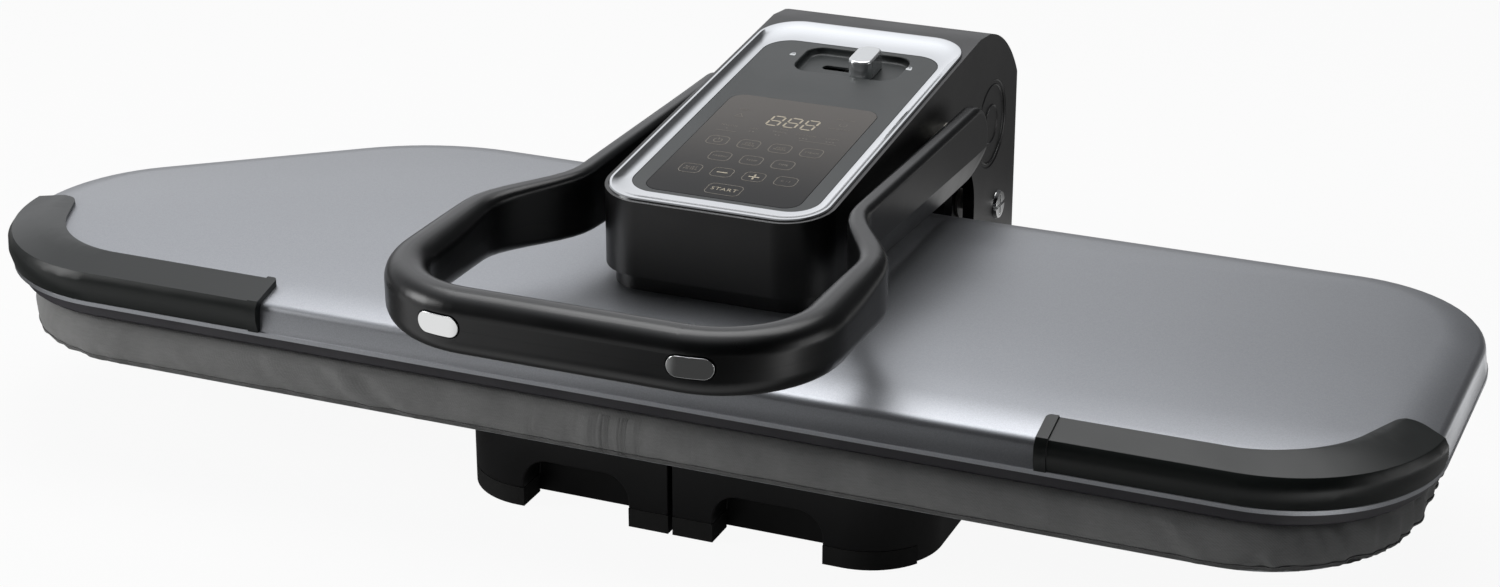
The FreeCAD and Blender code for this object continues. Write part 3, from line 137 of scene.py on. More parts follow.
@dataclass(frozen=True)
class Finish:
    """A surface finish: its real material, its colour and how its surface was made."""

    title: str
    slot: Slot
    colour: str
    roughness: float
    metallic: float = 0.0
    specular: float = 0.5
    coat: float = 0.0
    coat_roughness: float = 0.1
    sheen: float = 0.0

    def material(self) -> bpy.types.Material:
        """Build the material once and return it.

        Returns:
            The Blender material of this finish.
        """
        if self.title in bpy.data.materials:
            return bpy.data.materials[self.title]
        material = bpy.data.materials.new(self.title)
        material.use_nodes = True
        tree = material.node_tree
        tree.nodes.clear()
        surface = add(tree, "ShaderNodeBsdfPrincipled", {
            "Base Color": linear(self.colour), "Roughness": self.roughness,
            "Metallic": self.metallic, "Specular IOR Level": self.specular,
            "Coat Weight": self.coat, "Coat Roughness": self.coat_roughness,
            "Sheen Weight": self.sheen})
        place = add(tree, "ShaderNodeTexCoord")
        self.texture(tree, surface, place)
        add(tree, "ShaderNodeOutputMaterial", {}, {"Surface": surface.outputs["BSDF"]})
        material.diffuse_color = linear(self.colour)
        return material

    def texture(self, tree: bpy.types.NodeTree, surface: bpy.types.Node,
                place: bpy.types.Node) -> None:
        """Add the pattern nodes; the plain finish has none.

        Args:
            tree: The material's node tree.
            surface: Its Principled node.
            place: Its Texture Coordinate node.
        """

    def shades(self, tree: bpy.types.NodeTree, factor: bpy.types.NodeSocket, low: float,
               high: float) -> bpy.types.NodeSocket:
        """Vary the finish's colour between two brightnesses.

        Args:
            tree: The material's node tree.
            factor: Socket from 0 to 1 that picks the brightness.
            low: Brightness at 0, as a share of the colour.
            high: Brightness at 1.

        Returns:
            The colour socket.
        """
        base = linear(self.colour)
        ends = [tuple(min(c * share, 1.0) for c in base[:3]) + (1.0,) for share in (low, high)]
        mix = add(tree, "ShaderNodeMix", {"data_type": "RGBA", 6: ends[0], 7: ends[1]}, {0: factor})
        return mix.outputs[2]

    def roughness_between(self, tree: bpy.types.NodeTree, factor: bpy.types.NodeSocket,
                          spread: float) -> bpy.types.NodeSocket:
        """Map a 0-1 factor to the roughness, give or take the spread.

        Args:
            tree: The material's node tree.
            factor: Socket from 0 to 1.
            spread: Largest difference from the finish's roughness.

        Returns:
            The roughness socket.
        """
        scale = add(tree, "ShaderNodeMapRange", {
            "From Min": 0.3, "From Max": 0.7, "To Min": max(self.roughness - spread, 0.02),
            "To Max": min(self.roughness + spread, 1.0)}, {"Value": factor})
        return scale.outputs["Result"]


@dataclass(frozen=True)
class Moulding(Finish):
    """Injection-moulded thermoplastic with a spark-eroded grain from the mould."""

    grain_mm: float = 0.7
    grain_depth_mm: float = 0.012
    mottle_mm: float = 45.0
    spread: float = 0.05

    def texture(self, tree: bpy.types.NodeTree, surface: bpy.types.Node,
                place: bpy.types.Node) -> None:
        """Fine grain as bump, slow handling marks as roughness.

        Args:
            tree: The material's node tree.
            surface: Its Principled node.
            place: Its Texture Coordinate node.
        """
        here = place.outputs["Object"]
        grain = add(tree, "ShaderNodeTexNoise", {"Scale": 1 / (self.grain_mm * MM), "Detail": 2.0,
                                                 "Roughness": 0.6}, {"Vector": here})
        bump = add(tree, "ShaderNodeBump", {"Strength": 1.0, "Distance": self.grain_depth_mm * MM},
                   {"Height": grain.outputs["Fac"]})
        slow = add(tree, "ShaderNodeTexNoise", {"Scale": 1 / (self.mottle_mm * MM), "Detail": 3.0},
                   {"Vector": here})
        tree.links.new(self.roughness_between(tree, slow.outputs["Fac"], self.spread),
                       surface.inputs["Roughness"])
        tree.links.new(self.shades(tree, grain.outputs["Fac"], 0.9, 1.1),
                       surface.inputs["Base Color"])
        tree.links.new(bump.outputs["Normal"], surface.inputs["Normal"])


@dataclass(frozen=True)
class MetallicEnamel(Finish):
    """Stoved silver enamel: aluminium flakes in a satin lacquer with a faint orange peel."""

    flake_mm: float = 0.45
    peel_mm: float = 2.6
    peel_depth_mm: float = 0.004

    def texture(self, tree: bpy.types.NodeTree, surface: bpy.types.Node,
                place: bpy.types.Node) -> None:
        """Flakes as small light and dark cells, orange peel as bump.

        Args:
            tree: The material's node tree.
            surface: Its Principled node.
            place: Its Texture Coordinate node.
        """
        here = place.outputs["Object"]
        # The real flakes are about 0.05 mm, too fine to show, so they are drawn coarser
        flakes = add(tree, "ShaderNodeTexVoronoi", {"Scale": 1 / (self.flake_mm * MM)},
                     {"Vector": here})
        grey = add(tree, "ShaderNodeSeparateColor", {}, {"Color": flakes.outputs["Color"]})
        peel = add(tree, "ShaderNodeTexNoise", {"Scale": 1 / (self.peel_mm * MM), "Detail": 1.0},
                   {"Vector": here})
        slow = add(tree, "ShaderNodeTexNoise", {"Scale": 9.0, "Detail": 2.0}, {"Vector": here})
        bump = add(tree, "ShaderNodeBump", {"Strength": 1.0, "Distance": self.peel_depth_mm * MM},
                   {"Height": peel.outputs["Fac"]})
        tree.links.new(self.shades(tree, grey.outputs["Red"], 0.93, 1.07),
                       surface.inputs["Base Color"])
        tree.links.new(self.roughness_between(tree, slow.outputs["Fac"], 0.02),
                       surface.inputs["Roughness"])
        tree.links.new(bump.outputs["Normal"], surface.inputs["Normal"])


@dataclass(frozen=True)
class DrawnMetal(Finish):
    """Bare metal with fine lines left by brushing, drawing or turning."""

    line_mm: float = 0.35
    stretch: float = 40.0
    depth_mm: float = 0.003
    along: Point = (1.0, 0.0, 0.0)
    tarnish: float = 0.06

    def texture(self, tree: bpy.types.NodeTree, surface: bpy.types.Node,
                place: bpy.types.Node) -> None:
        """Noise stretched along the brushing as bump and roughness.

        Args:
            tree: The material's node tree.
            surface: Its Principled node.
            place: Its Texture Coordinate node.
        """
        fine = 1 / (self.line_mm * MM)
        scale = tuple(fine / self.stretch if part else fine for part in self.along)
        lines = add(tree, "ShaderNodeMapping", {"Scale": scale},
                    {"Vector": place.outputs["Object"]})
        noise = add(tree, "ShaderNodeTexNoise", {"Scale": 1.0, "Detail": 3.0},
                    {"Vector": lines.outputs["Vector"]})
        bump = add(tree, "ShaderNodeBump", {"Strength": 1.0, "Distance": self.depth_mm * MM},
                   {"Height": noise.outputs["Fac"]})
        cloud = add(tree, "ShaderNodeTexNoise", {"Scale": 25.0, "Detail": 3.0},
                    {"Vector": place.outputs["Object"]})
        tree.links.new(self.roughness_between(tree, noise.outputs["Fac"], 0.05),
                       surface.inputs["Roughness"])
        tree.links.new(self.shades(tree, cloud.outputs["Fac"], 1 - self.tarnish, 1 + self.tarnish),
                       surface.inputs["Base Color"])
        tree.links.new(bump.outputs["Normal"], surface.inputs["Normal"])


@dataclass(frozen=True)
class Plated(Finish):
    """Mirror plating over a polished part, with the faint smears of handling."""

    smear_mm: float = 14.0

    def texture(self, tree: bpy.types.NodeTree, surface: bpy.types.Node,
                place: bpy.types.Node) -> None:
        """Smears as slow changes of roughness.

        Args:
            tree: The material's node tree.
            surface: Its Principled node.
            place: Its Texture Coordinate node.
        """
        smear = add(tree, "ShaderNodeTexNoise", {"Scale": 1 / (self.smear_mm * MM), "Detail": 4.0,
                                                 "Distortion": 0.6},
                    {"Vector": place.outputs["Object"]})
        tree.links.new(self.roughness_between(tree, smear.outputs["Fac"], 0.03),
                       surface.inputs["Roughness"])


@dataclass(frozen=True)
class SmokedGlass(Finish):
    """Back-printed touch glass: a brown-black print that fades lighter round the display."""

    light: str = "#5a5652"
    start_m: float = -0.07
    end_m: float = 0.07

    def texture(self, tree: bpy.types.NodeTree, surface: bpy.types.Node,
                place: bpy.types.Node) -> None:
        """A print that turns lighter towards the display, and the dust of a touched surface.

        Args:
            tree: The material's node tree.
            surface: Its Principled node.
            place: Its Texture Coordinate node.
        """
        here = place.outputs["Object"]
        parts = add(tree, "ShaderNodeSeparateXYZ", {}, {"Vector": here})
        fade = add(tree, "ShaderNodeMapRange", {
            "From Min": self.start_m, "From Max": self.end_m, "interpolation_type": "SMOOTHSTEP"},
            {"Value": parts.outputs["Y"]})
        mix = add(tree, "ShaderNodeMix", {"data_type": "RGBA", 6: linear(self.colour),
                                          7: linear(self.light)}, {0: fade.outputs["Result"]})
        dust = add(tree, "ShaderNodeTexNoise", {"Scale": 60.0, "Detail": 5.0}, {"Vector": here})
        tree.links.new(mix.outputs[2], surface.inputs["Base Color"])
        tree.links.new(self.roughness_between(tree, dust.outputs["Fac"], 0.04),
                       surface.inputs["Roughness"])


@dataclass(frozen=True)
class WovenCotton(Finish):
    """Plain-woven cotton over the pad: matt, with slubs in its threads and soft creases."""

    thread_mm: float = 0.9
    depth_mm: float = 0.12
    slubs_per_m: Point = (160.0, 900.0, 1.0)
    crease_mm: float = 26.0
    crease_depth_mm: float = 1.1
    crease_slant: float = -38.0
    crease_stretch: float = 0.22
    blotches: tuple[float, float] = (0.72, 1.2)

    def texture(self, tree: bpy.types.NodeTree, surface: bpy.types.Node,
                place: bpy.types.Node) -> None:
        """Warp and weft from the piece's UV map, slubs and creases from noise.

        Args:
            tree: The material's node tree.
            surface: Its Principled node.
            place: Its Texture Coordinate node.
        """
        cloth = place.outputs["UV"]
        # Threads of 0.3 mm would not show, so they are drawn three times as coarse
        per_m = math.pi / (self.thread_mm * MM)
        parts = add(tree, "ShaderNodeSeparateXYZ", {}, {"Vector": cloth})
        waves = []
        for axis in ("X", "Y"):
            turns = add(tree, "ShaderNodeMath", {"operation": "MULTIPLY", 1: per_m},
                        {0: parts.outputs[axis]})
            waves.append(add(tree, "ShaderNodeMath", {"operation": "SINE"},
                             {0: turns.outputs[0]}).outputs[0])
        weave = add(tree, "ShaderNodeMath", {"operation": "MULTIPLY"}, {0: waves[0], 1: waves[1]})
        slub_place = add(tree, "ShaderNodeMapping", {"Scale": self.slubs_per_m},
                         {"Vector": cloth})
        slubs = add(tree, "ShaderNodeTexNoise", {"Scale": 1.0, "Detail": 2.0},
                    {"Vector": slub_place.outputs["Vector"]})
        height = add(tree, "ShaderNodeMath", {"operation": "MULTIPLY_ADD", 1: 0.3},
                     {0: weave.outputs[0], 2: slubs.outputs["Fac"]})
        # Cloth pulled down over an edge creases at a slant
        crease_place = add(tree, "ShaderNodeMapping", {
            "Rotation": (0.0, 0.0, math.radians(self.crease_slant)),
            "Scale": (1.0, self.crease_stretch, 1.0)}, {"Vector": cloth})
        creases = add(tree, "ShaderNodeTexNoise", {
            "Scale": 1 / (self.crease_mm * MM), "Detail": 3.0, "Roughness": 0.45,
            "Distortion": 0.4}, {"Vector": crease_place.outputs["Vector"]})
        fine = add(tree, "ShaderNodeBump", {"Strength": 1.0, "Distance": self.depth_mm * MM},
                   {"Height": height.outputs[0]})
        coarse = add(tree, "ShaderNodeBump", {
            "Strength": 1.0, "Distance": self.crease_depth_mm * MM},
            {"Height": creases.outputs["Fac"], "Normal": fine.outputs["Normal"]})
        blotch = add(tree, "ShaderNodeTexNoise", {"Scale": 40.0, "Detail": 4.0},
                     {"Vector": place.outputs["Object"]})
        mixed = add(tree, "ShaderNodeMath", {"operation": "MULTIPLY_ADD", 1: 0.5},
                    {0: slubs.outputs["Fac"], 2: blotch.outputs["Fac"]})
        tree.links.new(self.shades(tree, mixed.outputs[0], *self.blotches),
                       surface.inputs["Base Color"])
        tree.links.new(coarse.outputs["Normal"], surface.inputs["Normal"])


@dataclass(frozen=True)
class Granular(Finish):
    """A cast, foamed, felted or coated surface with irregular cells."""

    cell_mm: float = 1.2
    depth_mm: float = 0.08
    contrast: float = 0.15

    def texture(self, tree: bpy.types.NodeTree, surface: bpy.types.Node,
                place: bpy.types.Node) -> None:
        """Cells as bump and as a change of brightness.

        Args:
            tree: The material's node tree.
            surface: Its Principled node.
            place: Its Texture Coordinate node.
        """
        cells = add(tree, "ShaderNodeTexVoronoi", {"Scale": 1 / (self.cell_mm * MM)},
                    {"Vector": place.outputs["Object"]})
        cloud = add(tree, "ShaderNodeTexNoise", {"Scale": 30.0, "Detail": 4.0},
                    {"Vector": place.outputs["Object"]})
        bump = add(tree, "ShaderNodeBump", {"Strength": 1.0, "Distance": self.depth_mm * MM},
                   {"Height": cells.outputs["Distance"]})
        shade = self.shades(tree, cloud.outputs["Fac"], 1 - self.contrast, 1 + self.contrast)
        tree.links.new(shade, surface.inputs["Base Color"])
        tree.links.new(self.roughness_between(tree, cloud.outputs["Fac"], 0.08),
                       surface.inputs["Roughness"])
        tree.links.new(bump.outputs["Normal"], surface.inputs["Normal"])


# Matt-satin black of a fine spark-eroded mould: takes only broad, dull highlights
BODY_BLACK = Moulding("ABS_spark_eroded_black", Slot.MOULDING, "#0d0d0e", 0.4)
# The grip's finer satin, closer to soft-touch: one long soft highlight
GRIP_BLACK = Moulding("ABS_soft_satin_black", Slot.SOFT_BLACK, "#0c0d0e", 0.31, specular=0.4,
                      grain_mm=0.5, grain_depth_mm=0.003, spread=0.04)
# Grey-green black with a little more gloss than the body
GUARD_GREY = Moulding("polyamide_satin_grey_black", Slot.GUARD, "#181b1a", 0.34, specular=0.25,
                      grain_mm=0.6, grain_depth_mm=0.006)
# Cool silver lacquer with flakes: brightens softly towards the light
SILVER = MetallicEnamel("stoved_enamel_silver", Slot.ENAMEL, "#8f9195", 0.38, metallic=0.75)
# Bright rolled rim of the panel: near mirror, with faint lines along its length
RIM = DrawnMetal("aluminium_polished_rim", Slot.RIM, "#d4d6d8", 0.11, metallic=1.0, line_mm=0.3,
                 along=(0.0, 1.0, 0.0), tarnish=0.02)
# Dark grey plate, smoother than the housing, so that it turns lighter towards the light
PANEL_GREY = Moulding("polycarbonate_satin_dark_grey", Slot.PANEL, "#2c2f2f", 0.4, specular=0.35,
                      grain_mm=0.4, grain_depth_mm=0.004)
# Smooth glass over a brown-black print: deep, with a clear reflection of the room
TOUCH = SmokedGlass("touch_glass_back_printed_brown", Slot.GLASS, "#0a0909", 0.14, specular=0.14)
# Mirror plating of the steam buttons and the pin: shows the floor and the room
CHROME = Plated("chrome_plate_bright", Slot.CHROME, "#dcdddd", 0.08, metallic=1.0)
# The knob is plated over a fine blasted surface, so its highlights are soft
SATIN_CHROME = Plated("chrome_plate_satin", Slot.CHROME, "#cfd1d2", 0.2, metallic=0.72)
# Violet-black coating with a dull sheen on the casting's edge
COATING = Granular("cast_alloy_non_stick_coated", Slot.PLATE, "#232127", 0.5, cell_mm=0.9,
                   depth_mm=0.02, contrast=0.08)
# Matt mid grey that shows its threads and creases
COTTON = WovenCotton("cotton_plain_weave_grey", Slot.CLOTH, "#7b7b7a", 0.95, specular=0.2,
                     sheen=0.15)
# The same cotton where the cord gathers it, drawn darker: painted shade of its folds
COTTON_PAINTED_SHADE = WovenCotton("cotton_plain_weave_grey_hem_painted_shade", Slot.CLOTH, "#626261", 0.95,
                           specular=0.2, sheen=0.15)
# Dry, pale fibres without any gloss
GLASS_MAT = Granular("woven_glass_mat", Slot.INSULATION, "#cdc8b8", 0.9, cell_mm=1.0,
                     depth_mm=0.2)
# Dull grey metal with the grain of its mould
CAST = Granular("aluminium_as_cast", Slot.CAST, "#a9abad", 0.55, metallic=1.0, cell_mm=0.8,
                depth_mm=0.05, contrast=0.06)
# Light grey metal with a broad soft shine, and brighter screws
ZINC = DrawnMetal("steel_zinc_plated", Slot.ZINC, "#b4b7ba", 0.38, metallic=1.0)
SCREW = DrawnMetal("steel_plated_screw", Slot.SCREW, "#a2a4a6", 0.3, metallic=1.0, line_mm=0.2)
# Steel that heat has turned brown in patches
SHEATH = DrawnMetal("steel_heat_darkened_sheath", Slot.ELEMENT, "#5d5853", 0.45, metallic=1.0,
                    tarnish=0.2)
# Soft black without gloss
RUBBER = Moulding("nitrile_rubber_matt", Slot.RUBBER, "#151514", 0.8, grain_mm=0.9,
                  grain_depth_mm=0.03)
# Off-white, slightly waxy
ACETAL = Moulding("acetal_natural", Slot.BUSH, "#dcdad2", 0.35, grain_depth_mm=0.004)
# Green lacquer of a circuit board
RESIST = Moulding("solder_resist_green", Slot.BOARD, "#1d5a35", 0.3, grain_mm=2.5,
                  grain_depth_mm=0.03)
# Warm red metal, cloudy where hands touched it
COPPER = DrawnMetal("copper_drawn_tube", Slot.COPPER, "#c47f58", 0.3, metallic=1.0,
                    along=(0.0, 0.0, 1.0), tarnish=0.12)
# Glossy smoke grey of a moulded tank
TANK_GREY = Moulding("polypropylene_smoked", Slot.TANK, "#33373a", 0.25, grain_depth_mm=0.004,
                     coat=0.3)
# Ink behind the glass: matt, and dimmer than the few signs that stand out
INK = Moulding("screen_print_beige", Slot.GLASS, "#6e675c", 0.5, grain_mm=0.4,
               grain_depth_mm=0.002)
INK_FAINT = Moulding("screen_print_beige_faint", Slot.GLASS, "#5c564e", 0.5, grain_mm=0.4,
                     grain_depth_mm=0.002)
INK_BRIGHT = Moulding("screen_print_cream", Slot.GLASS, "#b3a995", 0.5, grain_mm=0.4,
                      grain_depth_mm=0.002)
# Milky white windows of the two small lamps
LAMP = Moulding("lamp_window_milky", Slot.PANEL, "#d9dcdf", 0.3, grain_mm=0.4,
                grain_depth_mm=0.002)


# Modelling by hand: small steps that every piece shares
def deselect() -> None:
    """Deselect every object, so that an operator acts only on what is meant."""
    for item in bpy.context.view_layer.objects:
        item.select_set(False)


def choose(piece: bpy.types.Object) -> bpy.types.Object:
    """Make one object the only selected and active one.

    Args:
        piece: The object.

    Returns:
        The same object.
    """
    deselect()
    bpy.context.view_layer.objects.active = piece
    piece.select_set(True)
    return piece


@contextmanager
def edit(piece: bpy.types.Object, mode: str = "FACE") -> Iterator[bpy.types.Mesh]:
    """Work on a piece in edit mode with nothing selected at the start.

    Args:
        piece: The object.
        mode: Select mode, VERT, EDGE or FACE.

    Yields:
        The piece's mesh.
    """
    choose(piece)
    bpy.ops.object.mode_set(mode="EDIT")
    bpy.ops.mesh.select_mode(type=mode)
    bpy.ops.mesh.select_all(action="DESELECT")
    try:
        yield piece.data
    finally:
        bpy.ops.object.mode_set(mode="OBJECT")


def pick(piece: bpy.types.Object, wanted: Callable[[bpy.types.MeshPolygon], bool]) -> int:
    """Select the faces that a test wants, from inside edit mode.

    Args:
        piece: Object in edit mode.
        wanted: Test of a face.

    Returns:
        How many faces are selected.
    """
    bpy.ops.object.mode_set(mode="OBJECT")
    chosen = 0
    for face in piece.data.polygons:
        face.select = bool(wanted(face))
        chosen += face.select
    bpy.ops.object.mode_set(mode="EDIT")
    return chosen


def modify(piece: bpy.types.Object, kind: str, **settings: object) -> bpy.types.Object:
    """Add a modifier, set it and apply it.

    Args:
        piece: The object.
        kind: Modifier type, such as "BEVEL".
        settings: Its properties.

    Returns:
        The same object.
    """
    choose(piece)
    modifier = piece.modifiers.new(kind.title(), kind)
    for name, value in settings.items():
        setattr(modifier, name, value)
    bpy.ops.object.modifier_apply(modifier=modifier.name)
    return piece


def settle(piece: bpy.types.Object) -> bpy.types.Object:
    """Move an object's own place, turn and scale into its mesh.

    Args:
        piece: The object.

    Returns:
        The same object.
    """
    choose(piece)
    bpy.ops.object.transform_apply(location=True, rotation=True, scale=True)
    return piece


def smooth(piece: bpy.types.Object, angle: float = 32.0) -> bpy.types.Object:
    """Shade smooth, with hard edges over the angle.

    Args:
        piece: The object.
        angle: Degrees.

    Returns:
        The same object.
    """
    choose(piece)
    bpy.ops.object.shade_smooth_by_angle(angle=math.radians(angle))
    return piece


def soften(piece: bpy.types.Object, width_mm: float, segments: int = 2,
           angle: float = 34.0) -> bpy.types.Object:
    """Round the sharp edges of a piece and shade it as one moulded or pressed surface.

    Args:
        piece: The object.
        width_mm: Width of the rounding.
        segments: Facets across it.
        angle: Edges sharper than this are rounded, in degrees.

    Returns:
        The same object.
    """
    modify(piece, "BEVEL", width=width_mm * MM, segments=segments, limit_method="ANGLE",
           angle_limit=math.radians(angle), miter_outer="MITER_ARC")
    smooth(piece, 50.0)
    return modify(piece, "WEIGHTED_NORMAL", keep_sharp=True, weight=80)


def joined(name: str, parts: Iterable[bpy.types.Object]) -> bpy.types.Object:
    """Join objects into one.

    Args:
        name: Name of the result.
        parts: The objects.

    Returns:
        The joined object.
    """
    pieces = list(parts)
    deselect()
    for part in pieces:
        part.select_set(True)
    bpy.context.view_layer.objects.active = pieces[0]
    bpy.ops.object.join()
    pieces[0].name = pieces[0].data.name = name
    return pieces[0]


def twin(piece: bpy.types.Object, name: str, shift: Vector) -> bpy.types.Object:
    """Copy a finished piece with its own mesh, moved by a distance.

    Args:
        piece: The object.
        name: Name of the copy.
        shift: Distance to move it.

    Returns:
        The copy.
    """
    copy = bpy.data.objects.new(name, piece.data.copy())
    bpy.context.scene.collection.objects.link(copy)
    copy.data.transform(Matrix.Translation(shift))
    return copy


@dataclass
class Workshop:
    """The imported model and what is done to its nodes."""

    nodes: dict[str, bpy.types.Object]

    def dress(self, piece: bpy.types.Object, finish: Finish, body: str,
              *stands_for: str) -> bpy.types.Object:
        """Give a new piece its finish and its body, and hide the CAD nodes that it replaces.

        Args:
            piece: The new piece.
            finish: Its finish.
            body: Body that it rides on.
            stands_for: CAD nodes that it replaces.

        Returns:
            The same piece.
        """
        piece.data.materials.clear()
        piece.data.materials.append(finish.material())
        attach(piece, body)
        if stands_for:
            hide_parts(*stands_for)
        log.info("piece %s: %d faces", piece.name, len(piece.data.polygons))
        return piece

    def coat(self, finish: Finish, *names: str) -> None:
        """Give CAD nodes that keep their own shape a finish.

        Args:
            finish: The finish.
            names: The nodes.
        """
        for name in names:
            node = self.nodes[name]
            node.data.materials.clear()
            node.data.materials.append(finish.material())
            log.info("node %s: %s", name, finish.title)

    def merged(self, node: str, name: str, angle: float = 0.6) -> bpy.types.Object:
        """Copy a CAD node, merge its loose triangles and dissolve its flat seams.

        Args:
            node: The CAD node.
            name: Name of the copy.
            angle: Faces flatter than this become one, in degrees.

        Returns:
            The copy, at the origin.
        """
        source = self.nodes[node]
        copy = bpy.data.objects.new(name, source.data.copy())
        # A new piece carries none of the node's own labels
        for key in list(copy.data.keys()):
            del copy.data[key]
        bpy.context.scene.collection.objects.link(copy)
        choose(copy)
        if copy.data.has_custom_normals:
            bpy.ops.mesh.customdata_custom_splitnormals_clear()
        with edit(copy, "VERT"):
            bpy.ops.mesh.select_all(action="SELECT")
            bpy.ops.mesh.remove_doubles(threshold=1e-6)
            if angle:
                bpy.ops.mesh.dissolve_limited(angle_limit=math.radians(angle))
        return copy

    def rounded(self, node: str, name: str, finish: Finish, body: str, width_mm: float,
                segments: int = 2, angle: float = 34.0) -> bpy.types.Object:
        """Replace a CAD node by a copy with rounded edges.

        Args:
            node: The CAD node.
            name: Name of the piece.
            finish: Its finish.
            body: Body that it rides on.
            width_mm: Width of the rounding.
            segments: Facets across it.
            angle: Edges sharper than this are rounded, in degrees.

        Returns:
            The new piece.
        """
        piece = soften(self.merged(node, name), width_mm, segments, angle)
        return self.dress(piece, finish, body, node)


# The studio
@dataclass(frozen=True)
class Softbox:
    """A soft lamp: where it hangs, what it faces, its size in metres and its watts."""

    name: str
    place: Point
    aim: Point
    size: tuple[float, float]
    watts: float
    only_gloss: bool = False


@dataclass
class Studio:
    """Camera, soft lights, pale floor and the bright room that metal reflects."""

    camera_place: Point = (0.610995, -1.436494, 0.739202)
    camera_fall: float = 22.617
    camera_turn: float = 22.735
    lens: float = 70.639
    shift: tuple[float, float] = (-0.00061, -0.00029)
    floor_reach: float = 6.0
    floor_drop: float = 0.0006
    paper_white: float = 0.93
    # Light for matt surfaces, by the direction's part to the right
    ambient: Ramp = (-0.3, 0.9, 0.33, 0.08)
    # Room that gloss sees, by the directions ahead, up and to the right
    rise_share: float = 0.7
    ahead: Ramp = (-0.1, 0.85, 0.02, 1.0)
    horizon: Ramp = (-0.02, 0.09, 0.0, 1.0)
    zenith: Ramp = (0.5, 0.9, 1.0, 1.5)
    across: tuple[Ramp, ...] = (
        (-0.75, -0.3, 0.5, 1.2), (-0.3, 0.3, 1.0, 0.72), (0.14, 0.44, 1.0, 0.1))
    # Floor that gloss sees, by the place in metres across and along
    pool_left: Ramp = (-0.25, -0.05, 1.0, 0.06)
    pool_near: Ramp = (-0.48, -0.34, 0.0, 0.75)
    pool_edge: Ramp = (-0.3, -0.22, 1.0, 0.1)
    pool_behind: Ramp = (0.2, 0.3, 0.0, 0.55)
    pool_far: Ramp = (0.36, 0.46, 1.0, 0.13)
    pool_right: Ramp = (0.35, 0.6, 1.0, 4.0)
    softboxes: tuple[Softbox, ...] = (
        Softbox("softbox_top", (-0.1, 0.35, 1.5), (0.0, 0.0, 0.1), (1.6, 0.9), 17.0),
        Softbox("softbox_left", (-1.5, -0.9, 0.7), (-0.3, -0.15, 0.08), (0.7, 0.7), 14.0),
        Softbox("softbox_right", (1.4, 0.0, 0.25), (0.0, -0.05, 0.15), (0.8, 0.6), 3.0, True))

    def build(self) -> None:
        """Set up everything that isn't part of the object."""
        self.make_camera()
        self.make_world()
        self.make_floor()
        self.make_lights()
        bpy.context.scene.view_settings.view_transform = "Standard"

    def make_camera(self) -> None:
        """Stand the camera where the photograph was taken from."""
        data = bpy.data.cameras.new("camera")
        data.lens = self.lens
        data.sensor_width = 36.0
        data.shift_x, data.shift_y = self.shift
        data.clip_start, data.clip_end = 0.05, 50.0
        camera = bpy.data.objects.new("camera", data)
        camera.location = self.camera_place
        camera.rotation_euler = (math.radians(90 - self.camera_fall), 0.0,
                                 math.radians(self.camera_turn))
        bpy.context.scene.collection.objects.link(camera)
        bpy.context.scene.camera = camera

    def make_world(self) -> None:
        """White where the camera looks past the object, a graded room for reflections."""
        world = bpy.data.worlds.new("room")
        world.use_nodes = True
        bpy.context.scene.world = world
        tree = world.node_tree
        tree.nodes.clear()
        place = add(tree, "ShaderNodeTexCoord")
        # Local +Y is the way that the camera looks along the ground
        turned = add(tree, "ShaderNodeMapping", {
            "vector_type": "NORMAL", "Rotation": (0.0, 0.0, math.radians(-self.camera_turn))},
            {"Vector": place.outputs["Generated"]})
        parts = add(tree, "ShaderNodeSeparateXYZ", {}, {"Vector": turned.outputs["Vector"]})
        # The studio is dark behind the camera and bright ahead of it and overhead
        ahead = add(tree, "ShaderNodeMath", {"operation": "MULTIPLY_ADD", 1: self.rise_share},
                    {0: parts.outputs["Z"], 2: parts.outputs["Y"]})
        strength = self.ramp(tree, ahead.outputs[0], *self.ahead)
        # and its light comes from the left, so that it falls off to the right
        for axis, reach in (("Z", self.horizon), ("Z", self.zenith),
                            *(("X", reach) for reach in self.across)):
            strength = self.reckon(tree, "MULTIPLY", strength,
                                   self.ramp(tree, parts.outputs[axis], *reach))
        path = add(tree, "ShaderNodeLightPath")
        mirror = add(tree, "ShaderNodeMath", {"operation": "MAXIMUM"}, {
            0: path.outputs["Is Glossy Ray"], 1: path.outputs["Is Transmission Ray"]})
        soft = add(tree, "ShaderNodeBackground", {"Color": linear("#9fa2a6")},
                   {"Strength": self.ramp(tree, parts.outputs["X"], *self.ambient)})
        room = add(tree, "ShaderNodeBackground", {"Color": linear("#fbfcff")},
                   {"Strength": strength})
        white = add(tree, "ShaderNodeBackground", {"Color": (1.0, 1.0, 1.0, 1.0), "Strength": 1.0})
        lit = add(tree, "ShaderNodeMixShader", {}, {
            0: mirror.outputs[0], 1: soft.outputs[0], 2: room.outputs[0]})
        whole = add(tree, "ShaderNodeMixShader", {}, {
            0: path.outputs["Is Camera Ray"], 1: lit.outputs[0], 2: white.outputs[0]})
        add(tree, "ShaderNodeOutputWorld", {}, {"Surface": whole.outputs[0]})

    def ramp(self, tree: bpy.types.NodeTree, value: bpy.types.NodeSocket, start: float, end: float,
             low: float, high: float) -> bpy.types.NodeSocket:
        """Ease from one strength to another over a range of a direction's part.

        Args:
            tree: The node tree.
            value: The socket that is followed.
            start: Its value at the start.
            end: Its value at the end.
            low: Strength at the start.
            high: Strength at the end.

        Returns:
            The strength's socket.
        """
        scale = add(tree, "ShaderNodeMapRange", {
            "From Min": start, "From Max": end, "To Min": low, "To Max": high,
            "interpolation_type": "SMOOTHSTEP"}, {"Value": value})
        return scale.outputs["Result"]

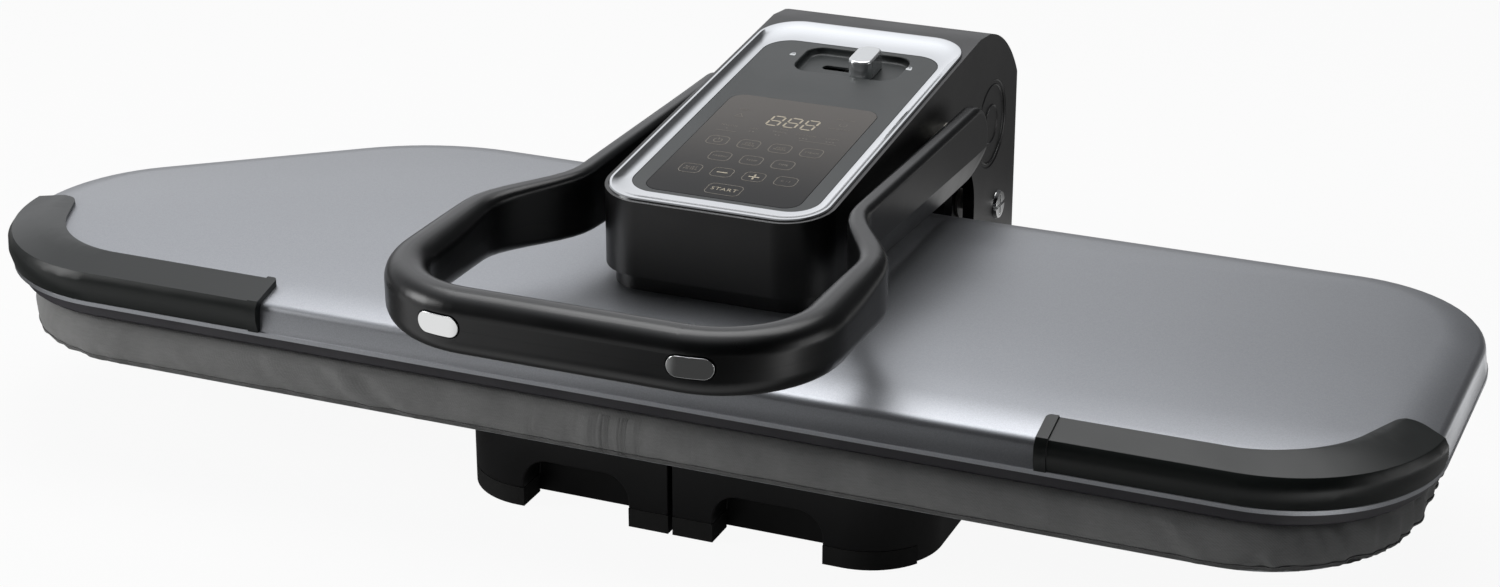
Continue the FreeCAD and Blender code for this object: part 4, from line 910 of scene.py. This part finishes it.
    def reckon(self, tree: bpy.types.NodeTree, operation: str, first: bpy.types.NodeSocket,
               second: bpy.types.NodeSocket) -> bpy.types.NodeSocket:
        """Join two strengths by arithmetic.

        Args:
            tree: The node tree.
            operation: Name of the operation.
            first: The first socket.
            second: The second one.

        Returns:
            The result's socket.
        """
        both = add(tree, "ShaderNodeMath", {"operation": operation}, {0: first, 1: second})
        return both.outputs[0]

    def make_floor(self) -> None:
        """Lay a pale floor that reads as the photograph's white and keeps a soft shadow."""
        deselect()
        bpy.ops.mesh.primitive_circle_add(vertices=96, radius=self.floor_reach, fill_type="NGON",
                                          location=(0.0, 0.0, -self.floor_drop))
        floor = settle(bpy.context.object)
        floor.name = "studio_floor"
        material = bpy.data.materials.new("paper_floor_white")
        material.use_nodes = True
        tree = material.node_tree
        tree.nodes.clear()
        paper = add(tree, "ShaderNodeBsdfDiffuse", {"Color": linear("#d9d9d9")})
        glow = add(tree, "ShaderNodeEmission", {"Color": (1.0, 1.0, 1.0, 1.0), "Strength": 1.0})
        path = add(tree, "ShaderNodeLightPath")
        seen = add(tree, "ShaderNodeMath", {"operation": "MULTIPLY", 1: self.paper_white},
                   {0: path.outputs["Is Camera Ray"]})
        plain = add(tree, "ShaderNodeMixShader", {}, {0: seen.outputs[0], 1: paper.outputs[0],
                                                      2: glow.outputs[0]})
        # Gloss sees a floor with pools of light at the left, in front, behind and far right
        place = add(tree, "ShaderNodeTexCoord")
        parts = add(tree, "ShaderNodeSeparateXYZ", {}, {"Vector": place.outputs["Object"]})
        across, along = parts.outputs["X"], parts.outputs["Y"]
        front = self.reckon(tree, "MAXIMUM", self.ramp(tree, across, *self.pool_left),
                            self.ramp(tree, along, *self.pool_near))
        front = self.reckon(tree, "MULTIPLY", front, self.ramp(tree, along, *self.pool_edge))
        behind = self.reckon(tree, "MULTIPLY", self.ramp(tree, along, *self.pool_behind),
                             self.ramp(tree, along, *self.pool_far))
        lit = self.reckon(tree, "MULTIPLY", self.reckon(tree, "ADD", front, behind),
                          self.ramp(tree, across, *self.pool_right))
        mirrored = add(tree, "ShaderNodeEmission", {"Color": (1.0, 1.0, 1.0, 1.0)},
                       {"Strength": lit})
        mix = add(tree, "ShaderNodeMixShader", {}, {
            0: path.outputs["Is Glossy Ray"], 1: plain.outputs[0], 2: mirrored.outputs[0]})
        add(tree, "ShaderNodeOutputMaterial", {}, {"Surface": mix.outputs[0]})
        floor.data.materials.append(material)

    def make_lights(self) -> None:
        """Hang the softboxes; the right one shows only in gloss, so its side stays in shade."""
        for box in self.softboxes:
            data = bpy.data.lights.new(box.name, "AREA")
            data.shape = "RECTANGLE"
            data.size, data.size_y = box.size
            data.energy = box.watts
            lamp = bpy.data.objects.new(box.name, data)
            lamp.location = box.place
            way = Vector(box.aim) - Vector(box.place)
            lamp.rotation_euler = way.to_track_quat("-Z", "Y").to_euler()
            lamp.visible_diffuse = not box.only_gloss
            bpy.context.scene.collection.objects.link(lamp)


# The object
@dataclass(frozen=True)
class Fold:
    """One crease in the wall's cloth: place in plan, slope, width, depth and where it fades."""

    x: float
    y: float
    lean: float
    width: float
    depth: float
    high: float = 0.95
    reach: float = 3.0
    fade_rate: float = 4.0
    ridge_share: float = 0.6
    ridge_place: float = 1.6

    def push(self, off: float, level: float) -> float:
        """Give how far the crease moves the cloth beside it.

        Args:
            off: Distance across the crease, in its widths.
            level: Height on the wall, from 0 at its foot to 1 at its top.

        Returns:
            Metres outward: less than 0 in the crease, more on the ridge next to it.
        """
        if abs(off) >= self.reach:
            return 0.0
        fade = min(max((self.high - level) * self.fade_rate, 0.0), 1.0)
        ridge = self.ridge_share * math.exp(-(off - self.ridge_place) ** 2)
        return self.depth * fade * (ridge - math.exp(-off * off))


@dataclass(frozen=True)
class Wave:
    """Ripples along the cloth: radians a metre, and how far and how fast they sway."""

    per_m: float
    sway: float
    sway_per_m: float
    start: float = 0.0

    def at(self, along: float, around: float) -> float:
        """Give the height of the ripples at a place.

        Args:
            along: Metres along the slant of the ripples.
            around: Metres round the board, which the sway follows.

        Returns:
            A height from -1 to 1.
        """
        swing = self.sway * math.sin(around * self.sway_per_m + self.start)
        return math.sin(along * self.per_m + swing)


@dataclass
class Board:
    """Padded ironing board: swollen pad under the cotton cover, and the cover's hem."""

    shop: Workshop
    voxel: float = 0.005
    pressure: float = 2.5
    frames: int = 20
    swell: float = 0.003
    hem_drop: float = 0.0008
    hem_height: float = 0.0028
    hem_stand: float = 0.0002
    hem_pucker: float = 0.0003
    top: float = 0.0851
    low: float = 0.0592
    wall_end: float = 0.97
    drag: Wave = Wave(95.0, 2.6, 13.0)
    drag_lean: float = 0.9
    counter: Wave = Wave(143.0, 3.0, 9.0, 1.0)
    counter_lean: float = -0.6
    patch: Wave = Wave(17.0, 2.4, 5.3)
    drag_depth: float = 0.00035
    bunch: Wave = Wave(330.0, 1.8, 90.0)
    bunch_from: float = 0.345
    bunch_depth: float = 0.0011
    pucker: Wave = Wave(520.0, 2.0, 61.0)
    folds: tuple[Fold, ...] = (
        Fold(-0.324, -0.164, -0.7, 0.0026, 0.0007, 0.4),
        Fold(-0.311, -0.166, -0.9, 0.0024, 0.0008, 0.5),
        Fold(-0.300, -0.167, -0.8, 0.0026, 0.0006, 0.4),
        Fold(-0.277, -0.168, -0.9, 0.003, 0.0006, 0.6),
        Fold(-0.216, -0.168, -1.1, 0.006, 0.0007), Fold(-0.172, -0.168, -1.3, 0.007, 0.0013),
        Fold(-0.147, -0.168, -1.2, 0.007, 0.0011), Fold(0.302, -0.168, -0.8, 0.006, 0.0009),
        Fold(0.346, -0.166, -0.6, 0.0034, 0.0013, 0.45),
        Fold(0.352, -0.165, 0.8, 0.0034, 0.0011, 0.5),
        Fold(0.374, -0.158, 0.3, 0.004, 0.0013), Fold(0.386, -0.150, -0.3, 0.0036, 0.0016),
        Fold(0.396, -0.139, -0.2, 0.005, 0.0014), Fold(0.403, -0.125, 0.2, 0.0036, 0.0015),
        Fold(0.4075, -0.108, -0.3, 0.005, 0.0013), Fold(0.410, -0.090, 0.3, 0.004, 0.001))
    bins: int = 720
    lengths: list[float] = field(default_factory=list)

    def build(self) -> None:
        """Make the pad with its cover and the gathered hem below it."""
        self.make_hem(self.make_pad())
        self.shop.coat(ZINC, "board_tray")

    def make_pad(self) -> bpy.types.Object:
        """Swell the covered pad by cloth simulation, then crease and map its cloth.

        Returns:
            The pad.
        """
        pad = self.shop.merged("board_cover", "covered_pad", 0.0)
        with edit(pad):
            bpy.ops.mesh.select_all(action="SELECT")
            bpy.ops.mesh.convex_hull()
        modify(pad, "REMESH", mode="VOXEL", voxel_size=self.voxel)
        rest = [v.co.copy() for v in pad.data.vertices]
        self.swell_up(pad)
        self.hold_near(pad, rest)
        modify(pad, "SUBSURF", levels=1, render_levels=1)
        self.measure_round(pad)
        self.crease(pad)
        self.map_cloth(pad)
        smooth(pad, 80.0)
        self.shop.dress(pad, COTTON, "base", "board_pad", "board_cover")
        return pad

    def swell_up(self, pad: bpy.types.Object) -> None:
        """Run the cloth simulation, held at the hem and under the hot plate, and keep its end.

        Args:
            pad: The remeshed pad.
        """
        held = pad.vertex_groups.new(name="held")
        margin = self.voxel * 0.8
        foot, rim = self.low + margin, self.top - margin * 0.3
        held.add([v.index for v in pad.data.vertices if v.co.z < foot or v.co.z > rim], 1.0,
                 "REPLACE")
        choose(pad)
        cloth = pad.modifiers.new("Cloth", "CLOTH")
        cloth.settings.vertex_group_mass = held.name
        cloth.settings.use_pressure = True
        cloth.settings.uniform_pressure_force = self.pressure
        cloth.settings.effector_weights.gravity = 0.0
        cloth.point_cache.frame_start, cloth.point_cache.frame_end = 1, self.frames
        for frame in range(1, self.frames + 1):
            bpy.context.scene.frame_set(frame)
        bpy.ops.object.modifier_apply(modifier=cloth.name)
        bpy.context.scene.frame_set(1)

    def hold_near(self, pad: bpy.types.Object, rest: list[Vector]) -> None:
        """Keep each point near its place and below the hot plate.

        Args:
            pad: The pad after the simulation.
            rest: Places of its points before it.
        """
        for vertex, start in zip(pad.data.vertices, rest):
            move = vertex.co - start
            if move.length > self.swell:
                move *= self.swell / move.length
            vertex.co = start + move
            vertex.co.z = min(vertex.co.z, self.top)

    def measure_round(self, pad: bpy.types.Object) -> None:
        """Measure the way round the board, from its left end past its front, by direction.

        Args:
            pad: The pad.
        """
        edge = [(0.0, 0.0)] * self.bins
        for vertex in pad.data.vertices:
            here = vertex.co
            step = int((math.atan2(here.y, here.x) / math.tau + 0.5) * self.bins) % self.bins
            if math.hypot(*edge[step]) < math.hypot(here.x, here.y):
                edge[step] = (here.x, here.y)
        total, self.lengths = 0.0, [0.0]
        last = edge[0]
        for point in edge[1:]:
            if point != (0.0, 0.0):
                total += math.dist(point, last)
                last = point
            self.lengths.append(total)

    def way_round(self, place: Vector) -> float:
        """Give the distance of a point round the board.

        Args:
            place: The point.

        Returns:
            Metres from the left end, counted past the front.
        """
        turn = (math.atan2(place.y, place.x) / math.tau + 0.5) * self.bins
        step = min(int(turn), self.bins - 1)
        following = self.lengths[min(step + 1, self.bins - 1)]
        return self.lengths[step] + (following - self.lengths[step]) * (turn - step)

    def crease(self, pad: bpy.types.Object) -> None:
        """Press slanted drag folds, small puckers and the listed folds into the wall's cloth.

        Args:
            pad: The pad.
        """
        walls = [Vector((v.normal.x, v.normal.y, 0.0)) for v in pad.data.vertices]
        height = self.top - self.low
        starts = [self.way_round(Vector((fold.x, fold.y, 0.0))) for fold in self.folds]
        for vertex, wall in zip(pad.data.vertices, walls):
            place = vertex.co
            level = (place.z - self.low) / height
            if wall.length < 0.5:
                continue
            around = self.way_round(place)
            lower = min(max((self.wall_end - level) / 0.25, 0.0), 1.0)
            drag = self.drag.at(around + place.z * self.drag_lean, around)
            counter = self.counter.at(around + place.z * self.counter_lean, around)
            patch = 0.5 + 0.5 * self.patch.at(around, around)
            depth = self.drag_depth * (drag * patch + counter * (1.0 - patch) - 1.0)
            # Round the right corner the gathered cloth stands in upright folds
            corner = min(max((place.x - self.bunch_from) / 0.05, 0.0), 1.0) * (place.y < 0.0)
            bunch = self.bunch.at(around, around) - 0.6
            depth += self.bunch_depth * corner * bunch * (1.0 - 0.5 * level)
            for fold, along in zip(self.folds, starts):
                off = (around - along - fold.lean * (level - 0.5) * height) / fold.width
                depth += fold.push(off, level)
            vertex.co += wall.normalized() * depth * lower

    def map_cloth(self, piece: bpy.types.Object) -> None:
        """Lay the cloth's UV map in metres: flat on top, unrolled along the walls.

        Args:
            piece: The pad or the hem.
        """
        mesh = piece.data
        layer = mesh.uv_layers.new(name="cloth")
        places = [v.co.copy() for v in mesh.vertices]
        ways = [self.way_round(place) for place in places]
        for face in mesh.polygons:
            steep = abs(face.normal.z) < 0.75
            for loop in face.loop_indices:
                corner = mesh.loops[loop].vertex_index
                place = places[corner]
                layer.data[loop].uv = (ways[corner], place.z) if steep else (place.x, place.y)

    def make_hem(self, pad: bpy.types.Object) -> None:
        """Cut the pad's foot off a copy and gather it over the cord as the hem.

        Args:
            pad: The finished pad.
        """
        hem = twin(pad, "gathered_hem", Vector((0.0, 0.0, -self.hem_drop)))
        with edit(hem):
            bpy.ops.mesh.select_all(action="SELECT")
            bpy.ops.mesh.bisect(plane_co=(0.0, 0.0, self.low + self.hem_height),
                                plane_no=(0.0, 0.0, 1.0), clear_outer=True, use_fill=True)
        walls = [Vector((v.normal.x, v.normal.y, 0.0)) for v in hem.data.vertices]
        for vertex, wall in zip(hem.data.vertices, walls):
            if wall.length < 0.3:
                continue
            around = self.way_round(vertex.co)
            pucker = 0.5 + 0.5 * self.pucker.at(around, around)
            vertex.co += wall.normalized() * (self.hem_stand + self.hem_pucker * pucker)
        smooth(hem, 50.0)
        # The hem takes the darker copy of the cotton: painted shade of its gathered folds
        self.shop.dress(hem, COTTON_PAINTED_SHADE, "base", "cover_hem")


@dataclass
class Base:
    """Two moulded halves on rubber shoes, with the parts that they carry."""

    shop: Workshop
    edge_mm: float = 1.1

    def build(self) -> None:
        """Round the halves' edges and dress the rest."""
        for side in ("left", "right"):
            self.shop.rounded(f"base_{side}", f"base_half_{side}", BODY_BLACK, "base",
                              self.edge_mm)
        self.shop.rounded("hinge_tower", "hinge_tower_moulded", BODY_BLACK, "base", 0.8)
        self.shop.coat(RUBBER, "rubber_shoes")
        self.shop.coat(ZINC, "base_chassis", "bottom_plate")
        self.shop.coat(SCREW, "base_screws")
        self.shop.coat(ACETAL, "hinge_bushes")
        self.shop.coat(BODY_BLACK, "cord_gland")


@dataclass
class HotPlate:
    """Coated cast plate, its element and its insulation."""

    shop: Workshop

    def build(self) -> None:
        """Soften the casting's rim and dress the pieces on it."""
        self.shop.rounded("heat_plate", "sole_plate_cast", COATING, "head", 0.5)
        self.shop.coat(SHEATH, "heating_element")
        self.shop.coat(SCREW, "plate_studs")
        self.shop.coat(GLASS_MAT, "plate_insulation")


@dataclass
class Cover:
    """Pressed and enamelled cover of the head with its two clip-on guards."""

    shop: Workshop
    edge_mm: float = 0.35
    ends: tuple[tuple[str, float, int], ...] = (
        ("nose_guard", -0.212, 1), ("corner_guard", 0.233, -1))
    band: float = 0.0065
    band_lift: float = 0.0011
    band_back: float = -0.13

    def build(self) -> None:
        """Shade the pressing and finish the guards."""
        cover = self.shop.merged("top_cover", "cover_pressing", 0.4)
        smooth(cover, 36.0)
        self.shop.dress(cover, SILVER, "head", "top_cover")
        self.build_guards()

    def build_guards(self) -> None:
        """Finish the two guards, each with a raised band at its visible end."""
        for node, end, way in self.ends:
            guard = self.shop.merged(node, f"{node}_moulded", 0.05)
            self.raise_band(guard, end, way)
            soften(guard, self.edge_mm, 3)
            self.shop.dress(guard, GUARD_GREY, "head", node)

    def raise_band(self, guard: bpy.types.Object, end: float, way: int) -> None:
        """Raise the narrow band that runs over a guard's outside next to its end.

        Args:
            guard: The guard.
            end: Where the end is, along X.
            way: 1 where the end faces +X, -1 where it faces -X.
        """
        cut = end - way * self.band
        with edit(guard):
            bpy.ops.mesh.select_all(action="SELECT")
            bpy.ops.mesh.bisect(plane_co=(cut, 0.0, 0.0), plane_no=(1.0, 0.0, 0.0))
            bpy.ops.mesh.select_all(action="DESELECT")
            if pick(guard, lambda face: (face.center.x - cut) * way > 0.0
                    and (face.normal.y < -0.3 or face.normal.z > 0.6)
                    and face.center.y < self.band_back):
                bpy.ops.mesh.extrude_region_shrink_fatten(
                    TRANSFORM_OT_shrink_fatten={"value": self.band_lift})


@dataclass
class Console:
    """Housing of the controls, its plinth and the pieces in it."""

    shop: Workshop
    middle: float = 0.017
    cap_skin: float = 0.0007
    cap_step: float = 0.0007
    pin_round: float = 0.0016
    slot_size: Point = (0.0024, 0.03, 0.0022)
    slot_edge: float = 0.0002

    def build(self) -> None:
        """Round the moulded edges and dress the hidden works."""
        self.shop.rounded("console_housing", "console_shell", BODY_BLACK, "head", 0.9)
        self.shop.rounded("plate_neck", "console_plinth", BODY_BLACK, "head", 0.8)
        self.make_caps()
        self.shop.coat(BODY_BLACK, "console_floor")
        self.shop.coat(SCREW, "console_screws")
        self.make_pin()
        self.shop.coat(RESIST, "control_board")
        self.shop.coat(CAST, "steam_generator")
        self.shop.coat(COPPER, "steam_pipe")
        self.shop.coat(ZINC, "water_pump")
        self.shop.rounded("water_tank", "tank_drawer", TANK_GREY, "tank", 0.6)
        self.shop.coat(BODY_BLACK, "tank_cap")

    def make_caps(self) -> None:
        """Sink the flat faces of the side caps by a small step within their borders."""
        caps = self.shop.merged("side_caps", "link_cap_discs", 0.5)
        reach = max(abs(v.co.x - self.middle) for v in caps.data.vertices)
        with edit(caps):
            if pick(caps, lambda face: abs(face.normal.x) > 0.95
                    and abs(face.center.x - self.middle) > reach - self.cap_skin):
                bpy.ops.mesh.inset(thickness=self.cap_step, depth=-self.cap_step,
                                   use_boundary=True)
        soften(caps, 0.3)
        self.shop.dress(caps, BODY_BLACK, "head", "side_caps")

    def make_pin(self) -> None:
        """Dome the heads of the hinge pin and cut a screwdriver slot across each."""
        pin = self.shop.merged("hinge_pin", "hinge_pin_turned")
        modify(pin, "BEVEL", width=self.pin_round, segments=5, limit_method="ANGLE",
               angle_limit=math.radians(60.0))
        ends = [v.co.x for v in pin.data.vertices]
        middle = sum((v.co for v in pin.data.vertices), Vector()) / len(pin.data.vertices)
        for end in (min(ends), max(ends)):
            deselect()
            bpy.ops.mesh.primitive_cube_add(size=1.0, location=(end, middle.y, middle.z))
            tool = bpy.context.object
            tool.scale = self.slot_size
            settle(tool)
            with edit(tool):
                bpy.ops.mesh.select_all(action="SELECT")
                bpy.ops.mesh.bevel(offset=self.slot_edge, segments=2, affect="EDGES")
            modify(pin, "BOOLEAN", object=tool, operation="DIFFERENCE", solver="EXACT")
            bpy.data.objects.remove(tool)
        smooth(pin, 40.0)
        self.shop.dress(pin, CHROME, "head", "hinge_pin")


@dataclass
class Print:
    """Flat marks of ink on the sloped panel, placed across and up from the console's front."""

    slope: Matrix
    level_mm: float
    lean_mm: float = 0.7
    lean_angle: float = -4.0
    marks: list[bpy.types.Object] = field(default_factory=list)

    def lay(self, mark: bpy.types.Object, across: float, up: float, turn: float = 0.0) -> None:
        """Set a flat mark on the panel.

        Args:
            mark: The mark, drawn flat about the origin.
            across: Millimetres right of the console's centre line.
            up: Millimetres up the slope.
            turn: Turn in degrees.
        """
        place = Matrix.Translation((across * MM, up * MM, self.level_mm * MM))
        mark.data.transform(self.slope @ place @ Matrix.Rotation(math.radians(turn), 4, "Z"))
        self.marks.append(mark)

    def plate(self, wide: float, tall: float, corner: float, line: float = 0.0,
              steps: int = 4) -> bpy.types.Object:
        """Draw a plate with round corners, or only its outline.

        Args:
            wide: Width in millimetres.
            tall: Height.
            corner: Corner radius.
            line: Width of the outline, or 0 for a full plate.
            steps: Facets in a corner.

        Returns:
            The mark.
        """
        deselect()
        bpy.ops.mesh.primitive_plane_add(size=1.0)
        mark = bpy.context.object
        mark.scale = (wide * MM, tall * MM, 1.0)
        settle(mark)
        with edit(mark, "VERT"):
            bpy.ops.mesh.select_all(action="SELECT")
            bpy.ops.mesh.bevel(offset=corner * MM, segments=steps, affect="VERTICES")
        if line:
            with edit(mark):
                bpy.ops.mesh.select_all(action="SELECT")
                bpy.ops.mesh.inset(thickness=line * MM)
                bpy.ops.mesh.delete(type="FACE")
        return mark

    def ring(self, radius: float, line: float, gap: float = 0.0, sides: int = 32
             ) -> bpy.types.Object:
        """Draw a ring, or an arc that is open at its top.

        Args:
            radius: Outer radius in millimetres.
            line: Width of the line.
            gap: Half the open angle in degrees.
            sides: Corners of the ring.

        Returns:
            The mark.
        """
        deselect()
        bpy.ops.mesh.primitive_circle_add(vertices=sides, radius=radius * MM, fill_type="NGON")
        mark = bpy.context.object
        with edit(mark):
            bpy.ops.mesh.select_all(action="SELECT")
            bpy.ops.mesh.inset(thickness=line * MM)
            bpy.ops.mesh.delete(type="FACE")
            if gap and pick(mark, lambda face: abs(math.atan2(face.center.x, face.center.y))
                            < math.radians(gap)):
                bpy.ops.mesh.delete(type="FACE")
        return mark

    def words(self, text: str, size: float) -> bpy.types.Object:
        """Set plain words and make them a mesh.

        Args:
            text: The words.
            size: Height of the type in millimetres.

        Returns:
            The mark.
        """
        deselect()
        bpy.ops.object.text_add()
        mark = bpy.context.object
        mark.data.body = text
        mark.data.size = size * MM
        mark.data.space_character = 1.1
        mark.data.space_line = 0.9
        mark.data.align_x = mark.data.align_y = "CENTER"
        mark.data.resolution_u = 2
        bpy.ops.object.convert(target="MESH")
        return bpy.context.object

    def digit(self, across: float, up: float, wide: float = 7.0, tall: float = 12.4,
              line: float = 1.15) -> None:
        """Lay an eight of seven separate bars, as a display shows with all bars lit.

        Args:
            across: Millimetres right of the centre line.
            up: Millimetres up the slope.
            wide: Width of the digit.
            tall: Its height.
            line: Width of a bar.
        """
        step = tall / 2
        for rise in (-1, 0, 1):
            self.lay(self.plate(wide - 1.2, line, line * 0.45, steps=1),
                     across + rise * self.lean_mm, up + rise * step)
        for side in (-1, 1):
            for rise in (-1, 1):
                self.lay(self.plate(line, step - 0.9, line * 0.45, steps=1),
                         across + side * wide / 2 + rise * self.lean_mm / 2,
                         up + rise * step / 2, self.lean_angle)

    def finish(self, name: str, shop: Workshop, ink: Finish) -> None:
        """Join the marks into one piece of ink on the head.

        Args:
            name: Name of the piece.
            shop: The workshop.
            ink: Its finish.
        """
        shop.dress(joined(name, self.marks), ink, "head")


@dataclass
class Fascia:
    """Polished ring, dark panel, touch glass with its print, and the lock knob."""

    shop: Workshop
    slope: Matrix = field(default_factory=lambda: Matrix.Translation((0.017, -0.08815, 0.1723))
                          @ Matrix.Rotation(math.radians(5.71), 4, "X"))
    glass_level: float = -1.98
    panel_level: float = -2.0
    columns: tuple[float, ...] = (-29.5, -10.5, 8.5, 27.5)
    rows: tuple[float, ...] = (91.5, 72.4, 53.2)
    key_size: tuple[float, float] = (12.8, 11.2)

    def build(self) -> None:
        """Dress the panel and lay the print on its glass."""
        ring = smooth(self.shop.merged("fascia_ring", "panel_ring_polished", 0.0), 24.0)
        self.shop.dress(ring, RIM, "head", "fascia_ring")
        self.shop.rounded("panel_plate", "panel_bezel", PANEL_GREY, "head", 0.35)
        self.shop.coat(TOUCH, "touch_glass")
        self.shop.rounded("lock_knob", "lock_thumb_knob", SATIN_CHROME, "lock_slider", 1.0, 4)
        self.shop.coat(ZINC, "lock_slide")
        self.print_keys()
        self.print_scale()
        self.print_bright()
        self.print_locks()

    def print_keys(self) -> None:
        """Outline the touch keys and letter them with plain words."""
        dim = Print(self.slope, self.glass_level)
        left, inner, outer, right = self.columns
        middle = (left + inner) / 2
        top, mid, low = self.rows
        wide, tall = self.key_size
        keys = [(left, top, ""), (inner, top, "DRY\nMODE"), (outer, top, "ECO\nMODE"),
                (right, top, "STEAM"), (middle, mid, "FABRIC"), (middle + 19.0, mid, "TEMP"),
                (middle + 38.0, mid, "TIME"), (left, low, "RESET\nFILTER"), (inner, low, ""),
                (outer, low, ""), (right, low, "C / F")]
        for across, up, text in keys:
            dim.lay(dim.plate(wide, tall, 3.3, 0.42), across, up)
            if text:
                dim.lay(dim.words(text, 2.6), across, up)
        dim.lay(dim.plate(20.5, 12.8, 3.3, 0.42), -1.0, 33.4)
        dim.lay(dim.ring(2.7, 0.5, 32.0), left, top)
        dim.lay(dim.plate(0.5, 2.6, 0.1), left, top + 2.0)
        dim.finish("glass_print_keys", self.shop, INK)

    def print_scale(self) -> None:
        """Print the scale of fabrics under the display and the small signs beside it."""
        dim = Print(self.slope, self.glass_level)
        for across, text, dots in ((-31.0, "NYLON", 1), (-15.8, "SILK", 2), (0.0, "WOOL", 2),
                                   (15.8, "COTTON", 3), (32.0, "LINEN", 3)):
            dim.lay(dim.words(text, 2.7), across, 112.0)
            for dot in range(dots):
                dim.lay(dim.plate(1.0, 1.0, 0.35), across + (dot - (dots - 1) / 2) * 2.0, 107.9)
        dim.lay(dim.plate(12.5, 0.45, 0.1), -30.2, 104.7)
        dim.lay(dim.plate(22.5, 0.45, 0.1), 25.7, 105.2)
        dim.lay(dim.words("MIN", 2.5), 1.0, 116.0)
        dim.lay(dim.words("HEAT", 2.5), -30.9, 134.5)
        dim.lay(dim.ring(3.4, 0.45, sides=3), -30.9, 126.0)
        dim.lay(dim.words("FILL TANK", 2.3), 30.2, 138.2)
        dim.lay(dim.ring(2.4, 0.4, 50.0), 31.0, 131.6)
        dim.lay(dim.words("NO WATER", 2.3), 30.8, 125.6)
        dim.finish("glass_print_scale", self.shop, INK_FAINT)

    def print_bright(self) -> None:
        """Print the signs that stand out: the digits, plus, minus and the start key's word."""
        bright = Print(self.slope, self.glass_level)
        for across in (-7.9, 2.6, 13.1):
            bright.digit(across, 125.6)
        bright.lay(bright.words("START", 5.0), -1.0, 33.4)
        for across, both in ((self.columns[1], False), (self.columns[2], True)):
            bright.lay(bright.plate(6.4, 1.1, 0.2), across, self.rows[2])
            if both:
                bright.lay(bright.plate(1.1, 6.4, 0.2), across, self.rows[2])
        bright.finish("glass_print_bright", self.shop, INK_BRIGHT)

    def print_locks(self) -> None:
        """Print a closed padlock at the locked end of the pocket and an open one at the other."""
        white = Print(self.slope, self.panel_level)
        for across, lift in ((-34.6, 0.0), (39.4, 0.5)):
            white.lay(white.plate(3.4, 2.6, 0.4), across, 217.6)
            white.lay(white.ring(1.35, 0.5), across, 219.2 + lift)
        white.finish("panel_print_locks", self.shop, LAMP)


@dataclass
class Handle:
    """Looped handle in two moulded shells, with its core, pivot and steam buttons."""

    shop: Workshop
    seam_mm: float = 0.9

    def build(self) -> None:
        """Shade the shells as smooth mouldings and dress the metal in them."""
        for half in ("upper", "lower"):
            shell = self.shop.merged(f"handle_{half}", f"grip_shell_{half}", 0.2)
            soften(shell, self.seam_mm, 2, 40.0)
            self.shop.dress(shell, GRIP_BLACK, "handle", f"handle_{half}")
        self.shop.coat(ZINC, "handle_core", "pressure_crank", "pivot_shaft")
        self.shop.coat(ACETAL, "pivot_bushes", "pivot_spacers")
        for side in ("left", "right"):
            self.shop.rounded(f"steam_button_{side}", f"steam_pill_{side}", CHROME,
                              f"steam_button_{side[0]}", 2.2, 6)
        self.shop.coat(BODY_BLACK, "steam_switches")


def main() -> None:
    """Build the studio and every sub-assembly in turn."""
    logging.basicConfig(level=logging.INFO, format="%(name)s: %(message)s")
    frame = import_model()
    shop = Workshop(frame["nodes"])
    for part in (Studio(), Board(shop), Base(shop), HotPlate(shop), Cover(shop), Console(shop),
                 Fascia(shop), Handle(shop)):
        log.info("building %s", type(part).__name__)
        part.build()


if __name__ == "__main__":
    main()
